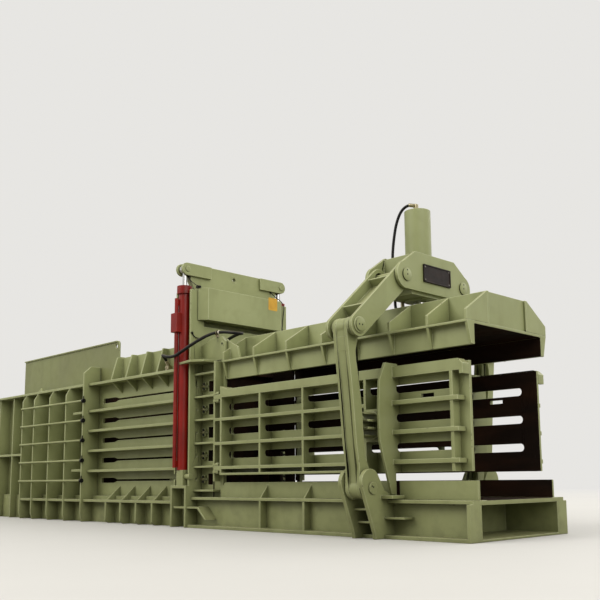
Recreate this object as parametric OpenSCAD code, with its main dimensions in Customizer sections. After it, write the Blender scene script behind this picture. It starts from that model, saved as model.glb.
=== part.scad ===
// Horizontal channel baler for waste paper and film, millimetres.
// +X runs along the channel to the bale outlet, +Z is up, the origin is the middle of the footprint.
// The near side is -Y. Both sides are the same, so most modules draw the near side and mirror it.

/* [Overall] */
// Length from the rear bulkhead to the outlet
total_l = 9240; // [8800:10:9800]
// Outlet end to the middle of the gate
neck_l = 2990; // [2900:10:3200]
// Middle of the gate to the first rib of the feed section
tie_l = 1650; // [1500:10:1900]
// Spacing of the feed section's ribs
grid_pitch = 354; // [300:2:380]
// Spacing of the first two ribs of the feed section
grid_first = 275; // [240:5:360]
// Number of rib plates in the feed section
grid_n = 5; // [3:1:5]

/* [Chamber] */
// Width inside the chamber
chamber_w = 800; // [740:10:900]
// Height inside the chamber
chamber_h = 1100; // [1060:10:1180]
// Height of the chamber floor above the ground
floor_z = 255; // [245:5:300]
// Thickness of the chamber's side plates
wall_t = 25; // [16:1:30]
// Number of wires on a bale
wire_n = 5; // [3:1:5]
// Spacing of the wires
wire_pitch = 200; // [180:5:210]
// Height of a needle slot in the squeeze walls
slot_h = 57; // [40:1:70]

/* [Plates] */
// Thickness of ribs and stiffeners
rib_t = 20; // [12:1:25]
// Thickness of horizontal bars and flanges
bar_t = 24; // [16:1:30]
// Half width over the feed section's ribs
rib_y = 610; // [590:5:650]
// Half width over the horizontal bars of the tie section
bar_y = 551; // [530:1:575]
// Half width over the base's flanges
flange_y = 575; // [560:5:600]
// Half width over the base's side webs
base_y = 480; // [460:5:500]

/* [Gate] */
// Half spacing of the two portal plates
portal_x = 100; // [90:1:120]
// Height of the portal's columns over the chamber's roof
column_h = 715; // [645:5:845]
// Distance of the lift cylinders from the centre plane
lift_y = 562; // [555:1:575]
// Bore of a lift cylinder
lift_bore = 80; // [60:1:84]
// Outside diameter of a lift cylinder
lift_d = 100; // [92:1:104]
// Rod of a lift cylinder
lift_rod_d = 42; // [35:1:56]
// Height of the lift cylinders' top pins over the columns
lift_pin_h = 198; // [170:2:250]
// Thickness of the gate plate
gate_t = 80; // [50:2:90]

/* [Squeeze] */
// Outlet end to the centre line of the squeeze linkage
link_back = 793; // [780:1:860]
// Distance of a link's lower pin from the centre plane
link_low_y = 700; // [690:1:720]
// Height of a link's lower pin over the chamber's floor
link_low_h = 79; // [65:1:95]
// Distance of a link's upper pin from the centre plane
link_top_y = 815; // [800:1:830]
// Height of a link's upper pin over the chamber's roof
link_top_h = 55; // [35:1:75]
// Distance of the yoke's pins from the centre plane
yoke_y = 340; // [330:1:350]
// Height of the yoke's pins over the chamber's roof
yoke_h = 473; // [455:1:495]
// Half width over the yoke's two plates
yoke_x = 153; // [145:1:165]
// Diameter of the linkage pins
pin_d = 80; // [60:1:90]
// Outside diameter of the squeeze cylinder
squeeze_d = 198; // [180:1:210]
// Height of the top of the squeeze cylinder over the yoke's pins
squeeze_h = 572; // [512:2:632]
// Height of the roof's top over its ceiling plate
roof_h = 232; // [200:2:240]

/* [Ram] */
// Length of the ram
ram_l = 2350; // [2300:10:2500]
// Room between the rear bulkhead and the ram
ram_room = 783; // [640:1:900]
// Outside diameter of the main cylinder
main_d = 300; // [260:2:340]
// Rod of the main cylinder
main_rod_d = 180; // [140:2:200]

/* [Hidden] */
$fn = 48;

green = "#8f9a6a";
red = "#7c1f16";
black = "#141412";
steel = "#b9bcbd";

// Places along the machine
x_out = total_l / 2;
x_rear = -total_l / 2;
x_gate = x_out - neck_l;
x_grid = x_gate - tie_l;
x_feed = x_grid - (grid_n - 2) * grid_pitch - grid_first;
grid_xs = [for (i = [0 : grid_n - 2]) x_grid - i * grid_pitch, x_feed];
x_link = x_out - link_back;
x_port_a = x_gate - portal_x;
x_port_b = x_gate + portal_x;

// Chamber faces and wires
in_y = chamber_w / 2;
out_y = in_y + wall_t;
roof_z = floor_z + chamber_h;
floor_t = 30;
belly_t = 15;
mid_z = floor_z + chamber_h / 2;
wire_low = floor_z + (chamber_h - (wire_n - 1) * wire_pitch) / 2;
wire_z = [for (i = [0 : wire_n - 1]) wire_low + i * wire_pitch];
flange_top = floor_z - floor_t - 5;
run_gap = 0.3;

// Horizontal flange on top of the feed and tie sections
top_flange_z = roof_z + 30;
grid_shoulder_z = top_flange_z - 95;
first_rib_z = top_flange_z + 175;
grid_flange_y = rib_y - 42;
tie_flange_y = bar_y + 6;

// Tie section: needle slots and transverse ribs
slot_x0 = x_grid + 85;
slot_wide_l = 230;
slot_taper_l = 65;
slot_wide_h = 50;
slot_thin_h = 17;
tie_rib_x0 = 437;
tie_rib_pitch = 262;
tie_rib_n = 4;

// Station column behind the gate
station_y = out_y + 11;
station_x1 = x_gate + 275;
station_plate_t = station_y - in_y;
post_x = x_gate + 392;
post_y = 525;
hinge_x = x_gate + 445;
hinge_y = 520;
hinge_pin_d = 40;

// Roof
hinge_plate_z = roof_z + 45;
hinge_plate_t = 24;
hinge_plate_y = out_y + hinge_plate_t / 2;
roof_pin_d = 44;
roof_hinge_x = x_gate + 400;
roof_hinge_z = roof_z + 205;
roof_x0 = x_gate + 455;
roof_x1 = x_out - 40;
ceiling_z = roof_z + 25;
ceiling_t = 22;
skirt_y = 440;
skirt_in_y = in_y + 8;
skirt_low = roof_z - 110;
ledge_y = 490;
web_y = 236;
roof_top = ceiling_z + roof_h + ceiling_t - 10;

// Squeeze walls
wall_x0 = x_gate + 495;
wall_x1 = x_out - 80;
wall_low = floor_z + 181;
wall_top = roof_z - 210;
bay_y = 545;
outlet_y = 500;
bay_x1 = x_link - 95;
bow_x = x_link + 122;
bow_low = floor_z + 35;
mullion_pitch = 490;
outlet_stile_x = x_out - 186;
notch_d = 64;
gusset_l = 95;
pad_z = mid_z - 48;
pad_r = 102;
pad_gap = 3;

// Linkage
link_low_z = floor_z + link_low_h;
link_top_z = roof_z + link_top_h;
yoke_z = roof_z + yoke_h;
squeeze_top = yoke_z + squeeze_h;
yoke_t = 26;
arm_t = 24;
arm_gap = 6;
link_wx = 130;
lug_in = 78;
lug_t = 30;

// Gate and lift cylinders
column_z = roof_z + column_h;
column_y = lift_y + 10;
lift_pin_z = column_z + lift_pin_h;
bracket_z = floor_z + 98;
bracket_y = lift_y + 43;
lift_foot_z = bracket_z + 132;
lift_top = column_z + 16;
lift_cap_d = lift_d + 34;
foot_pin_z = bracket_z + 75;
foot_pin_d = 50;
portal_top = roof_z + 395;
beam_low = portal_top + 50;
beam_top = lift_pin_z + 58;
lug_plate_t = 24;

// Ram
ram_clear = 8;
platen_t = 80;
bulkhead_t = 90;
ram_face = x_rear + bulkhead_t + ram_room + ram_l;

module both_sides() {
    children();
    mirror([0, 1, 0]) children();
}

// Block between two corners
module block(x0, x1, y0, y1, z0, z1) {
    translate([x0, y0, z0]) cube([x1 - x0, y1 - y0, z1 - z0]);
}

// Plate across the machine: its outline is drawn in Y and Z
module cross_plate(x, t) {
    translate([x, 0, 0]) rotate([90, 0, 90]) linear_extrude(height = t, center = true) children();
}

// Plate along the machine: its outline is drawn in X and Z
module long_plate(y, t) {
    translate([0, y, 0]) rotate([90, 0, 0]) linear_extrude(height = t, center = true) children();
}

// Pin or bore along X, Y or Z
module rod_x(x0, x1, y, z, d) {
    translate([x0, y, z]) rotate([0, 90, 0]) cylinder(h = x1 - x0, d = d);
}
module rod_y(x, y0, y1, z, d) {
    translate([x, y0, z]) rotate([-90, 0, 0]) cylinder(h = y1 - y0, d = d);
}
module rod_z(x, y, z0, z1, d) {
    translate([x, y, z0]) cylinder(h = z1 - z0, d = d);
}

// Bar with two round ends; its straight edges meet the rounds a hair inside the tangent points
module tangent_bar(a, ra, b, rb) {
    hair = 0.05;
    span = b - a;
    turn = atan2(span[1], span[0]);
    open = acos((ra - rb) / norm(span));
    up = [cos(turn + open), sin(turn + open)];
    down = [cos(turn - open), sin(turn - open)];
    polygon([a + (ra - hair) * up, b + (rb - hair) * up, b + (rb - hair) * down, a + (ra - hair) * down]);
    translate(a) circle(r = ra);
    translate(b) circle(r = rb);
}

// Round tube swept along points
function tube_dir(p, i) =
    let (a = p[max(i - 1, 0)], b = p[min(i + 1, len(p) - 1)]) (b - a) / norm(b - a);
function tube_side(d) =
    let (s = cross(d, abs(d[2]) > 0.9 ? [0, 1, 0] : [0, 0, 1])) s / norm(s);
function tube_ring(p, i, r, n) =
    let (d = tube_dir(p, i), s = tube_side(d), u = cross(s, d))
    [for (k = [0 : n - 1]) p[i] + r * (cos(360 * k / n) * s + sin(360 * k / n) * u)];
module tube_path(p, r, n = 10) {
    rings = [for (i = [0 : len(p) - 1]) each tube_ring(p, i, r, n)];
    sides = [for (i = [0 : len(p) - 2]) for (k = [0 : n - 1])
        [i * n + k, i * n + (k + 1) % n, (i + 1) * n + (k + 1) % n, (i + 1) * n + k]];
    first = [for (k = [0 : n - 1]) n - 1 - k];
    last = [for (k = [0 : n - 1]) (len(p) - 1) * n + k];
    polyhedron(points = rings, faces = concat([first], sides, [last]), convexity = 4);
}

// Feed section and its base

module base_frame() {
    color(green) {
        block(x_rear, x_out, -base_y, base_y, 0, belly_t);
        both_sides() block(x_rear, x_out, -base_y, rib_t - base_y, 0, floor_z - floor_t);
        for (x = [x_rear + 300 : 500 : x_out - 100])
            block(x, x + rib_t, -base_y, base_y, 0, floor_z - floor_t);
    }
}

module floor_plate() {
    color(green) block(x_rear + bulkhead_t, x_out, -base_y, base_y, floor_z - floor_t, floor_z);
}

module grid_side_plates() {
    color(green) both_sides()
        block(x_feed, x_grid, -out_y, -in_y, floor_z, top_flange_z - bar_t);
}

module grid_rib_outline(outer, shoulder_z, neck_y, top_z) {
    polygon([
        [-base_y, 0], [-outer + 20, 0], [-outer, 65], [-outer, shoulder_z],
        [-neck_y, top_z], [-out_y, top_z], [-out_y, floor_z], [-base_y, floor_z]
    ]);
}

tube_d = 22;
tube_y = rib_y + 7;

module tube_notches() {
    for (z = wire_z) {
        rod_x(x_feed - 400, x_grid + 40, -tube_y, z, tube_d + 2 * run_gap);
        block(x_feed - 400, x_grid + 40, -rib_y - 20, -tube_y, z - tube_d / 2 - run_gap, z + tube_d / 2 + run_gap);
    }
}

module grid_ribs() {
    color(green) both_sides() difference() {
        union() {
            for (i = [1 : grid_n - 1])
                cross_plate(grid_xs[i], rib_t)
                    grid_rib_outline(rib_y, grid_shoulder_z, grid_flange_y, top_flange_z - bar_t + 2);
            cross_plate(x_grid, rib_t) grid_rib_outline(rib_y, first_rib_z - 70, rib_y - 78, first_rib_z);
            block(x_feed - rib_t / 2, x_grid, -grid_flange_y, -in_y, top_flange_z - bar_t, top_flange_z);
            block(x_feed, x_grid, 10 - rib_y, -base_y, flange_top - bar_t, flange_top);
            for (z = [wire_z[0] + 90, wire_z[wire_n - 1] - 128])
                block(x_grid - 250, x_grid, 30 - rib_y, -out_y, z, z + bar_t);
            for (x = [x_feed + 150, x_grid - 190])
                long_plate(-grid_flange_y + 60, rib_t)
                    polygon([[x, top_flange_z], [x + 120, top_flange_z], [x + 90, top_flange_z + 50]]);
        }
        tube_notches();
    }
}

hopper_top = roof_z + 450;
hopper_x0 = x_feed - 370;
hopper_x1 = x_grid + 355;
hopper_r = 40;

module feed_hopper() {
    color(green) {
        both_sides() difference() {
            union() {
                long_plate(-in_y - 12, 16) {
                    polygon([
                        [hopper_x0, top_flange_z], [hopper_x1, top_flange_z],
                        [hopper_x1, hopper_top - hopper_r], [hopper_x1 - hopper_r, hopper_top],
                        [hopper_x0, hopper_top]
                    ]);
                    translate([hopper_x1 - hopper_r, hopper_top - hopper_r]) circle(r = hopper_r);
                }
                block(hopper_x0, hopper_x1 - hopper_r, -in_y - 34, -in_y - 20, hopper_top - 14, hopper_top);
            }
            rod_y(hopper_x1 - 55, -in_y - 40, -in_y + 10, hopper_top - 55, 40);
        }
        block(x_feed - 60, x_feed - 44, -in_y - 4, in_y + 4, top_flange_z, hopper_top);
        block(x_grid - rib_t - 16, x_grid - rib_t, -in_y - 4, in_y + 4, top_flange_z, roof_z + 345);
    }
}

module wire_tubes() {
    color(green) both_sides() for (z = wire_z)
        difference() {
            rod_x(x_feed - 10, x_grid + rib_t / 2, -tube_y, z, tube_d);
            rod_x(x_feed - 11, x_grid + rib_t / 2 + 1, -tube_y, z, tube_d - 10);
        }
}

module wire_tube_ends() {
    color(black) both_sides() for (z = wire_z) {
        difference() {
            rod_x(x_grid + rib_t / 2, x_grid + rib_t / 2 + 24, -tube_y, z, tube_d + 22);
            rod_x(x_grid + rib_t / 2 - 1, x_grid + rib_t / 2 + 25, -tube_y, z, tube_d - 10);
        }
        rod_z(x_grid + rib_t / 2 + 12, -tube_y, z + tube_d / 2 + 8, z + tube_d / 2 + 38, 10);
    }
}

// Tie section

tie_x0 = x_grid + rib_t / 2;
tie_x1 = x_port_a - rib_t / 2;

module needle_slot(z) {
    x1 = slot_x0 + slot_wide_l;
    x2 = x1 + slot_taper_l;
    w = slot_wide_h / 2;
    n = slot_thin_h / 2;
    polygon([
        [slot_x0, z - w], [x1, z - w], [x2, z - n], [tie_x1 - 12, z - n],
        [tie_x1 - 12, z + n], [x2, z + n], [x1, z + w], [slot_x0, z + w]
    ]);
}

module tie_side_plates() {
    color(green) both_sides() long_plate(-in_y - wall_t / 2, wall_t) difference() {
        translate([x_grid, floor_z]) square([tie_x1 - x_grid, top_flange_z - bar_t - floor_z]);
        for (z = wire_z) needle_slot(z);
    }
}

module tie_bars() {
    color(green) both_sides() {
        for (i = [0 : wire_n - 2])
            block(tie_x0, tie_x1, -bar_y, -out_y, wire_z[i] + wire_pitch / 2 - bar_t / 2 - 6,
                wire_z[i] + wire_pitch / 2 + bar_t / 2 - 6);
        block(tie_x0, tie_x1, -flange_y - 10, -base_y, flange_top - bar_t, flange_top);
    }
}

module tie_rib_places() {
    for (i = [0 : tie_rib_n - 1]) translate([x_grid + tie_rib_x0 + i * tie_rib_pitch, 0, 0]) children();
}

module tie_gussets() {
    tip_z = roof_z - 101;
    foot = flange_top;
    color(green) both_sides() tie_rib_places() {
        cross_plate(0, rib_t - 6) polygon([
            [-tie_flange_y + 8, top_flange_z - bar_t], [-out_y, top_flange_z - bar_t], [-out_y, tip_z]
        ]);
        cross_plate(0, rib_t - 6) polygon([
            [-flange_y + 8, foot], [-base_y, foot], [-base_y, floor_z], [-out_y, floor_z], [-out_y, foot + 130]
        ]);
        cross_plate(0, rib_t) polygon([
            [-flange_y - 10, foot - bar_t], [-base_y, foot - bar_t], [-base_y, 0],
            [-flange_y + 25, 0], [-flange_y - 10, 30]
        ]);
    }
}

tie_roof_top = top_flange_z + 227;

module tie_roof() {
    z = top_flange_z;
    color(green) {
        block(tie_x0, tie_x1, -in_y, in_y, roof_z, z - bar_t);
        block(tie_x0, tie_x1, -tie_flange_y, tie_flange_y, z - bar_t, z);
        both_sides() block(hopper_x1 + 10, tie_x1, -out_y - 8, -out_y + 8, z, tie_roof_top);
        tie_rib_places() cross_plate(0, rib_t) polygon([
            [-tie_flange_y, z], [-tie_flange_y + 66, tie_roof_top],
            [tie_flange_y - 66, tie_roof_top], [tie_flange_y, z]
        ]);
    }
}

// Gate portal

module portal_outline() {
    difference() {
        union() {
            translate([-bracket_y, 0]) square([2 * bracket_y, bracket_z]);
            translate([-column_y, bracket_z]) square([2 * column_y, portal_top - bracket_z]);
            for (s = [-1, 1]) translate([s * (out_y + column_y) / 2 - (column_y - out_y) / 2, portal_top - 1])
                square([column_y - out_y, column_z - portal_top + 1]);
        }
        translate([-in_y, floor_z]) square([2 * in_y, chamber_h]);
        translate([-base_y, -1]) square([2 * base_y, floor_z + 1]);
        for (s = [-1, 1], z = wire_z) translate([s * (base_y + 12), z]) circle(d = 22);
        for (s = [-1, 1]) translate([s * lift_y, foot_pin_z]) circle(d = foot_pin_d + 0.1);
    }
}

module portal_plates() {
    color(green) {
        for (x = [x_port_a, x_port_b]) cross_plate(x, rib_t) portal_outline();
        both_sides() block(x_port_a, x_port_b, -bracket_y, -base_y - 10, bracket_z - bar_t, bracket_z);
        both_sides() block(x_port_a, x_port_b, -base_y - 10, -base_y, 0, column_z - 30);
        both_sides() block(x_port_a, x_port_b, -base_y, -base_y + 8, floor_z, column_z - 30);
    }
}

module gate_guides() {
    gx = gate_t / 2 + 2;
    color(green) both_sides() for (s = [-1, 1])
        translate([x_gate + s * (portal_x - rib_t / 2 + gx) / 2, 0, 0])
            block(-(portal_x - rib_t / 2 - gx) / 2, (portal_x - rib_t / 2 - gx) / 2,
                -base_y + 8, -in_y, floor_z, portal_top);
}

module station_plates() {
    win_w = 64;
    win_h = 95;
    color(green) both_sides() difference() {
        union() {
            block(x_port_b + rib_t / 2, station_x1, -station_y, -in_y, floor_z, hinge_plate_z);
            block(station_x1, post_x - rib_t / 2, -out_y, -in_y, floor_z, hinge_plate_z);
        }
        for (z = wire_z) block(station_x1 - 6 - win_w, station_x1 - 6, -station_y - 1, -in_y + 1,
            z - win_h / 2, z + win_h / 2);
    }
}

module wire_clamps() {
    x0 = x_port_b + rib_t / 2 + 28;
    color(steel) both_sides() for (z = wire_z) {
        for (s = [-1, 1]) block(x0, x0 + 44, -station_y - 22, -station_y, z + s * 24 - 11, z + s * 24 + 11);
        difference() {
            block(x0 + 8, x0 + 62, -station_y - 14, -station_y, z - 9, z + 9);
            rod_y(x0 + 52, -station_y - 15, -station_y + 1, z, 9);
        }
        for (s = [-1, 1]) rod_y(x0 + 22, -station_y - 34, -station_y - 22, z + s * 24, 16);
    }
}

module column_shelves() {
    x0 = x_port_b + rib_t / 2;
    x1 = post_x - rib_t / 2;
    wire_top = wire_z[wire_n - 1];
    levels = [
        floor_z + 0.354 * (wire_low - floor_z - rib_t),
        for (i = [0 : wire_n - 2]) wire_z[i] + wire_pitch / 2 - 4,
        wire_top + 0.64 * (roof_z - wire_top)
    ];
    color(green) both_sides() {
        for (z = levels) {
            difference() {
                block(x0, x1, -post_y, -out_y, z, z + rib_t - 4);
                block(x0 - 1, station_x1, -station_y, -out_y + 1, z - 1, z + rib_t);
            }
        }
        block(post_x + rib_t / 2, post_x + 48, -base_y + 20, -out_y, floor_z, wall_low + 10);
        cross_plate(post_x, rib_t) polygon([
            [-post_y, floor_z + 130], [-out_y, floor_z + 130], [-out_y, hinge_plate_z], [-post_y, hinge_plate_z]
        ]);
    }
}

module roof_hinge_plates() {
    z0 = hinge_plate_z;
    x1 = roof_x0 - 14;
    color(green) both_sides() {
        translate([0, 0, z0]) linear_extrude(height = rib_t) polygon([
            [neck_x0, -out_y], [neck_x0, -586], [x_gate + 55, -606], [x_gate + 12, -617],
            [x_gate + 218, -655], [x_gate + 322, -592], [x_gate + 330, -out_y]
        ]);
        difference() {
            long_plate(-hinge_plate_y, hinge_plate_t) polygon([
                [neck_x0, z0 + rib_t], [neck_x0, z0 + 170], [x_gate + 260, z0 + 222], [x_gate + 400, z0 + 222],
                [x1, z0 + 180], [x1, wall_top + 8], [post_x + rib_t / 2, wall_top + 8],
                [post_x + rib_t / 2, z0 + rib_t]
            ]);
            rod_y(roof_hinge_x, -post_y, -in_y, roof_hinge_z, roof_pin_d + 0.1);
        }
    }
}

module lift_barrels() {
    color(red) both_sides() difference() {
        union() {
            rod_z(x_gate, -lift_y, lift_foot_z, lift_top, lift_d);
            rod_z(x_gate, -lift_y, lift_top - 46, lift_top + 25, lift_cap_d);
        }
        rod_z(x_gate, -lift_y, lift_foot_z + 30, lift_top, lift_bore);
        rod_z(x_gate, -lift_y, lift_top - 1, lift_top + 26, lift_rod_d + 2 * run_gap);
    }
}

module lift_pipes() {
    px = x_gate - 22;
    py = -lift_y - lift_d / 2 - 18;
    color(red) both_sides() difference() {
        union() {
            rod_z(px, py, lift_foot_z + 20, lift_top - 90, 34);
            block(px - 42, px + 48, py - 30, py + 30, lift_top - 396, lift_top - 226);
            block(px - 14, px + 14, py + 10, py + 30, lift_foot_z + 30, lift_foot_z + 80);
            block(px - 14, px + 14, py + 10, py + 30, lift_top - 150, lift_top - 100);
        }
        rod_z(x_gate, -lift_y, lift_foot_z, lift_top, lift_d + 0.2);
    }
}

module lift_feet() {
    color(green) both_sides() {
        difference() {
            block(x_gate - 30, x_gate + 60, -lift_y - 40, -lift_y + 46, bracket_z, lift_foot_z);
            rod_x(x_gate - 50, x_gate + 70, -lift_y, foot_pin_z, foot_pin_d + 2 * run_gap);
        }
        rod_x(x_gate - 30, x_port_b + rib_t / 2 + 14, -lift_y, foot_pin_z, foot_pin_d);
    }
}

// Neck base

neck_x0 = x_port_b + rib_t / 2;
neck_web_top = floor_z + 122;
neck_edge_y = flange_y + 13;
neck_flange_y = flange_y - 25;

module neck_base() {
    color(green) both_sides() {
        difference() {
            long_plate(-base_y + 30, rib_t) polygon([
                [post_x + 48, floor_z], [x_out - 20, floor_z], [x_out - 20, neck_web_top],
                [post_x + 70, neck_web_top], [post_x + 48, neck_web_top - 25]
            ]);
            block(bow_x - 22, bow_x + 22, -base_y, -in_y, bow_low - 10, neck_web_top + 1);
        }
        block(neck_x0, x_out, -neck_flange_y, -base_y, floor_z - 23, floor_z);
        block(neck_x0, x_out, -neck_edge_y, -base_y, 0, bar_t);
        for (x = [x_gate + 990, x_gate + 1480]) {
            block(x, x + rib_t, -neck_flange_y + 4, -base_y, bar_t, floor_z - 23);
            cross_plate(x + rib_t / 2, rib_t - 8)
                polygon([[-neck_flange_y + 10, floor_z], [-base_y + 20, floor_z], [-base_y + 20, neck_web_top - 20]]);
        }
        block(x_out - 24, x_out, -neck_edge_y, -base_y, bar_t, floor_z - 23);
    }
}

module neck_braces() {
    x1 = x_port_b + 165;
    x2 = x1 + 160;
    color(green) both_sides() {
        block(x_port_a + 40, x_port_b - rib_t / 2, -bracket_y, -base_y - 10, 160, 176);
        translate([0, -base_y, 0]) rotate([90, 0, 0]) linear_extrude(height = 115) polygon([
            [neck_x0, 176], [neck_x0, 160], [x1 - 4, 160], [x2 - 62, 70], [x2 - 45, 70], [x1 + 6, 176]
        ]);
    }
}

// Squeeze linkage anchors

lug_r = 88;
lug_eye = [-link_low_y - 12, link_low_z + 38];

module lug_outline() {
    difference() {
        union() {
            translate(lug_eye) circle(r = lug_r);
            polygon([
                lug_eye + lug_r * [cos(196), sin(196)], [23 - link_low_y, 40], [30 - link_low_y, 0], [-base_y, 0],
                [-base_y, floor_z + 15], [-flange_y, link_low_z - 16], lug_eye + lug_r * [cos(24), sin(24)]
            ]);
        }
        translate([-link_low_y, link_low_z]) circle(d = pin_d);
    }
}

module link_lugs() {
    x1 = x_link + lug_in + lug_t;
    color(green) both_sides() difference() {
        union() {
            for (s = [-1, 1]) cross_plate(x_link + s * (lug_in + lug_t / 2), lug_t) lug_outline();
            for (z = [100, 186])
                block(x_link - lug_in, x_link + lug_in, (z > 150 ? 28 : 58) - link_low_y, -base_y, z, z + 14);
            block(x1, x1 + 170, -flange_y - 10, -base_y, 128, 142);
            block(x1, x1 + 100, 85 - link_low_y, -base_y - 10, floor_z + 7, floor_z + 29);
        }
        block(neck_x0, x_out, -neck_flange_y, -base_y + 1, floor_z - 23, floor_z);
        block(neck_x0, x_out, -neck_edge_y, -base_y + 1, -1, bar_t);
    }
}

module lug_pins() {
    x0 = x_link - lug_in - lug_t - 12;
    color(green) both_sides() {
        rod_x(x0, -x0 + 2 * x_link, -link_low_y, link_low_z, pin_d - 0.1);
    }
}

module knuckle(z0, z1) {
    difference() {
        children();
        rod_z(hinge_x, -hinge_y, z0 - 1, z1 + 1, hinge_pin_d + 2 * run_gap);
    }
}

hinge_levels = [[wall_low + 38, wall_low + 77], [wall_top - 79, wall_top - 39]];

module wall_hinge_pins() {
    color(green) both_sides() for (h = hinge_levels) {
        rod_z(hinge_x, -hinge_y, h[0] - 26, h[1] + 26, hinge_pin_d);
        for (z = [h[0] - 18, h[1] + 2]) difference() {
            block(post_x + rib_t / 2, hinge_x + 26, -hinge_y - 26, -hinge_y + 26, z, z + 16);
            rod_z(hinge_x, -hinge_y, z - 1, z + 17, hinge_pin_d - 0.1);
        }
    }
}

module roof_hinge_pins() {
    color(green) both_sides()
        rod_y(roof_hinge_x, -out_y - hinge_plate_t - 2, -in_y + 12, roof_hinge_z, roof_pin_d);
}

// Rear section

rear_top = roof_z - 140;

module rear_side_plates() {
    x0 = x_rear + bulkhead_t;
    x1 = x_feed - rib_t / 2;
    x_step = x_feed - 900;
    n = 9;
    pitch = (x1 - x0) / n;
    top = top_flange_z;
    color(green) both_sides() {
        long_plate(-in_y - wall_t / 2, wall_t) polygon([
            [x0, floor_z], [x1, floor_z], [x1, top - bar_t], [x_step, top - bar_t],
            [x_step - 240, rear_top - bar_t], [x0, rear_top - bar_t]
        ]);
        for (i = [0 : n - 1]) {
            x = x0 + i * pitch;
            block(x, x + rib_t, -bar_y, -out_y, floor_z, x > x_step ? top - bar_t : rear_top - bar_t);
            block(x, x + rib_t, -bar_y, -base_y, 0, floor_z);
        }
        block(x_step, x1, -grid_flange_y, -in_y, top - bar_t, top);
        block(x0, x_step - 240, -bar_y, -in_y, rear_top - bar_t, rear_top);
        long_plate(-(bar_y + in_y) / 2, bar_y - in_y) polygon([
            [x_step, top - bar_t], [x_step, top], [x_step - 240, rear_top], [x_step - 240, rear_top - bar_t]
        ]);
        block(x0, x1, -bar_y, -out_y, mid_z - 115, mid_z - 115 + bar_t);
    }
}

module rear_bulkhead() {
    color(green) difference() {
        union() {
            block(x_rear, x_rear + bulkhead_t, -bar_y, bar_y, belly_t, rear_top + 45);
            both_sides() block(x_rear, x_rear + bulkhead_t, -bar_y, -base_y, 0, belly_t);
        }
        block(x_rear - 1, x_rear + bulkhead_t + 1, -base_y, base_y, -1, floor_z - floor_t);
        rod_x(x_rear - 1, x_rear + bulkhead_t + 1, 0, main_z, main_d + 2 * run_gap);
    }
}

main_z = mid_z;
main_x1 = ram_face - platen_t - 240;
flange_d = main_d + 160;
bolt_n = 12;

module main_cylinder() {
    color(red) difference() {
        union() {
            rod_x(x_rear, main_x1, 0, main_z, main_d);
            rod_x(x_rear + bulkhead_t, x_rear + bulkhead_t + 50, 0, main_z, flange_d);
            rod_x(main_x1 - 120, main_x1, 0, main_z, main_d + 40);
        }
        rod_x(x_rear + 60, main_x1 - 60, 0, main_z, main_d - 60);
        rod_x(main_x1 - 61, main_x1 + 1, 0, main_z, main_rod_d + 2 * run_gap);
    }
}

module bulkhead_bolts() {
    x = x_rear + bulkhead_t + 50;
    color(steel) for (i = [0 : bolt_n - 1]) {
        a = 360 * i / bolt_n;
        translate([x, (flange_d / 2 - 38) * cos(a), main_z + (flange_d / 2 - 38) * sin(a)])
            rotate([0, 90, 0]) cylinder(h = 20, d = 42, $fn = 6);
    }
}

// Black hose from the roof of the tie section, past the lift cylinder, to the front of the portal
module lift_hose() {
    x = x_gate;
    h = hinge_plate_z;
    color(black) tube_path([
        [x - 320, -500, h + 40], [x - 300, -540, h + 80], [x - 255, -600, h + 105], [x - 190, -650, h + 100],
        [x - 100, -662, h + 78], [x + 13, -667, h + 74], [x + 123, -662, h + 106], [x + 200, -640, h + 145],
        [x + 262, -595, h + 190], [x + 306, -535, h + 232], [x + 325, -480, h + 256], [x + 350, -452, h + 262],
        [x + 440, -446, h + 254], [x + 520, -430, h + 240], [x + 562, -390, h + 232], [x + 540, -345, h + 240],
        [x + 440, -310, h + 250], [x + 300, -275, h + 240], [x + 180, -252, h + 216], [x + 122, -245, h + 200]
    ], 14);
    color(steel) {
        block(x + 322, x + 350, -460, -438, h + 222, h + 240);
        block(x - 345, x - 295, -520, -470, top_flange_z, h + 40);
        block(x_port_b + rib_t / 2, x_port_b + rib_t / 2 + 14, -270, -220, h + 175, h + 225);
    }
}

// Gate

module gate_plate() {
    color(green) block(x_gate - gate_t / 2, x_gate + gate_t / 2, -base_y + 12, base_y - 12,
        floor_z + 6, beam_low);
}

module gate_beam() {
    front = x_gate + 185;
    back = x_port_b + rib_t / 2 + 8;
    color(green) difference() {
        union() {
            cross_plate(x_gate - 6, 56) polygon([
                [-468, beam_low], [468, beam_low], [468, beam_top - 226], [512, beam_top - 156], [512, beam_top],
                [-512, beam_top], [-512, beam_top - 156], [-468, beam_top - 226]
            ]);
            block(x_gate, front - 60, -out_y + 30, out_y - 30, beam_low, beam_low + 290);
            translate([0, 0, beam_low]) linear_extrude(height = 290) polygon([
                [back, -500], [front - 65, -500], [front, -435], [front, 435],
                [front - 65, 500], [back, 500]
            ]);
        }
        rod_x(x_gate - 50, x_gate + 40, -14, beam_top - 70, 62);
    }
}

module gate_lugs() {
    r = 56;
    color(green) both_sides() for (x0 = [x_gate + 22, x_gate - 34 - lug_plate_t])
        difference() {
            union() {
                block(x0, x0 + lug_plate_t, -lift_y, -295, lift_pin_z - r, lift_pin_z + r);
                rod_x(x0, x0 + lug_plate_t, -lift_y, lift_pin_z, 2 * r);
            }
            rod_x(x0 - 1, x0 + lug_plate_t + 1, -lift_y, lift_pin_z, 50);
        }
}

module gate_pins() {
    color(green) both_sides()
        rod_x(x_gate - 34 - lug_plate_t - 8, x_gate + 22 + lug_plate_t + 8, -lift_y, lift_pin_z, 49.9);
}

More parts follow.
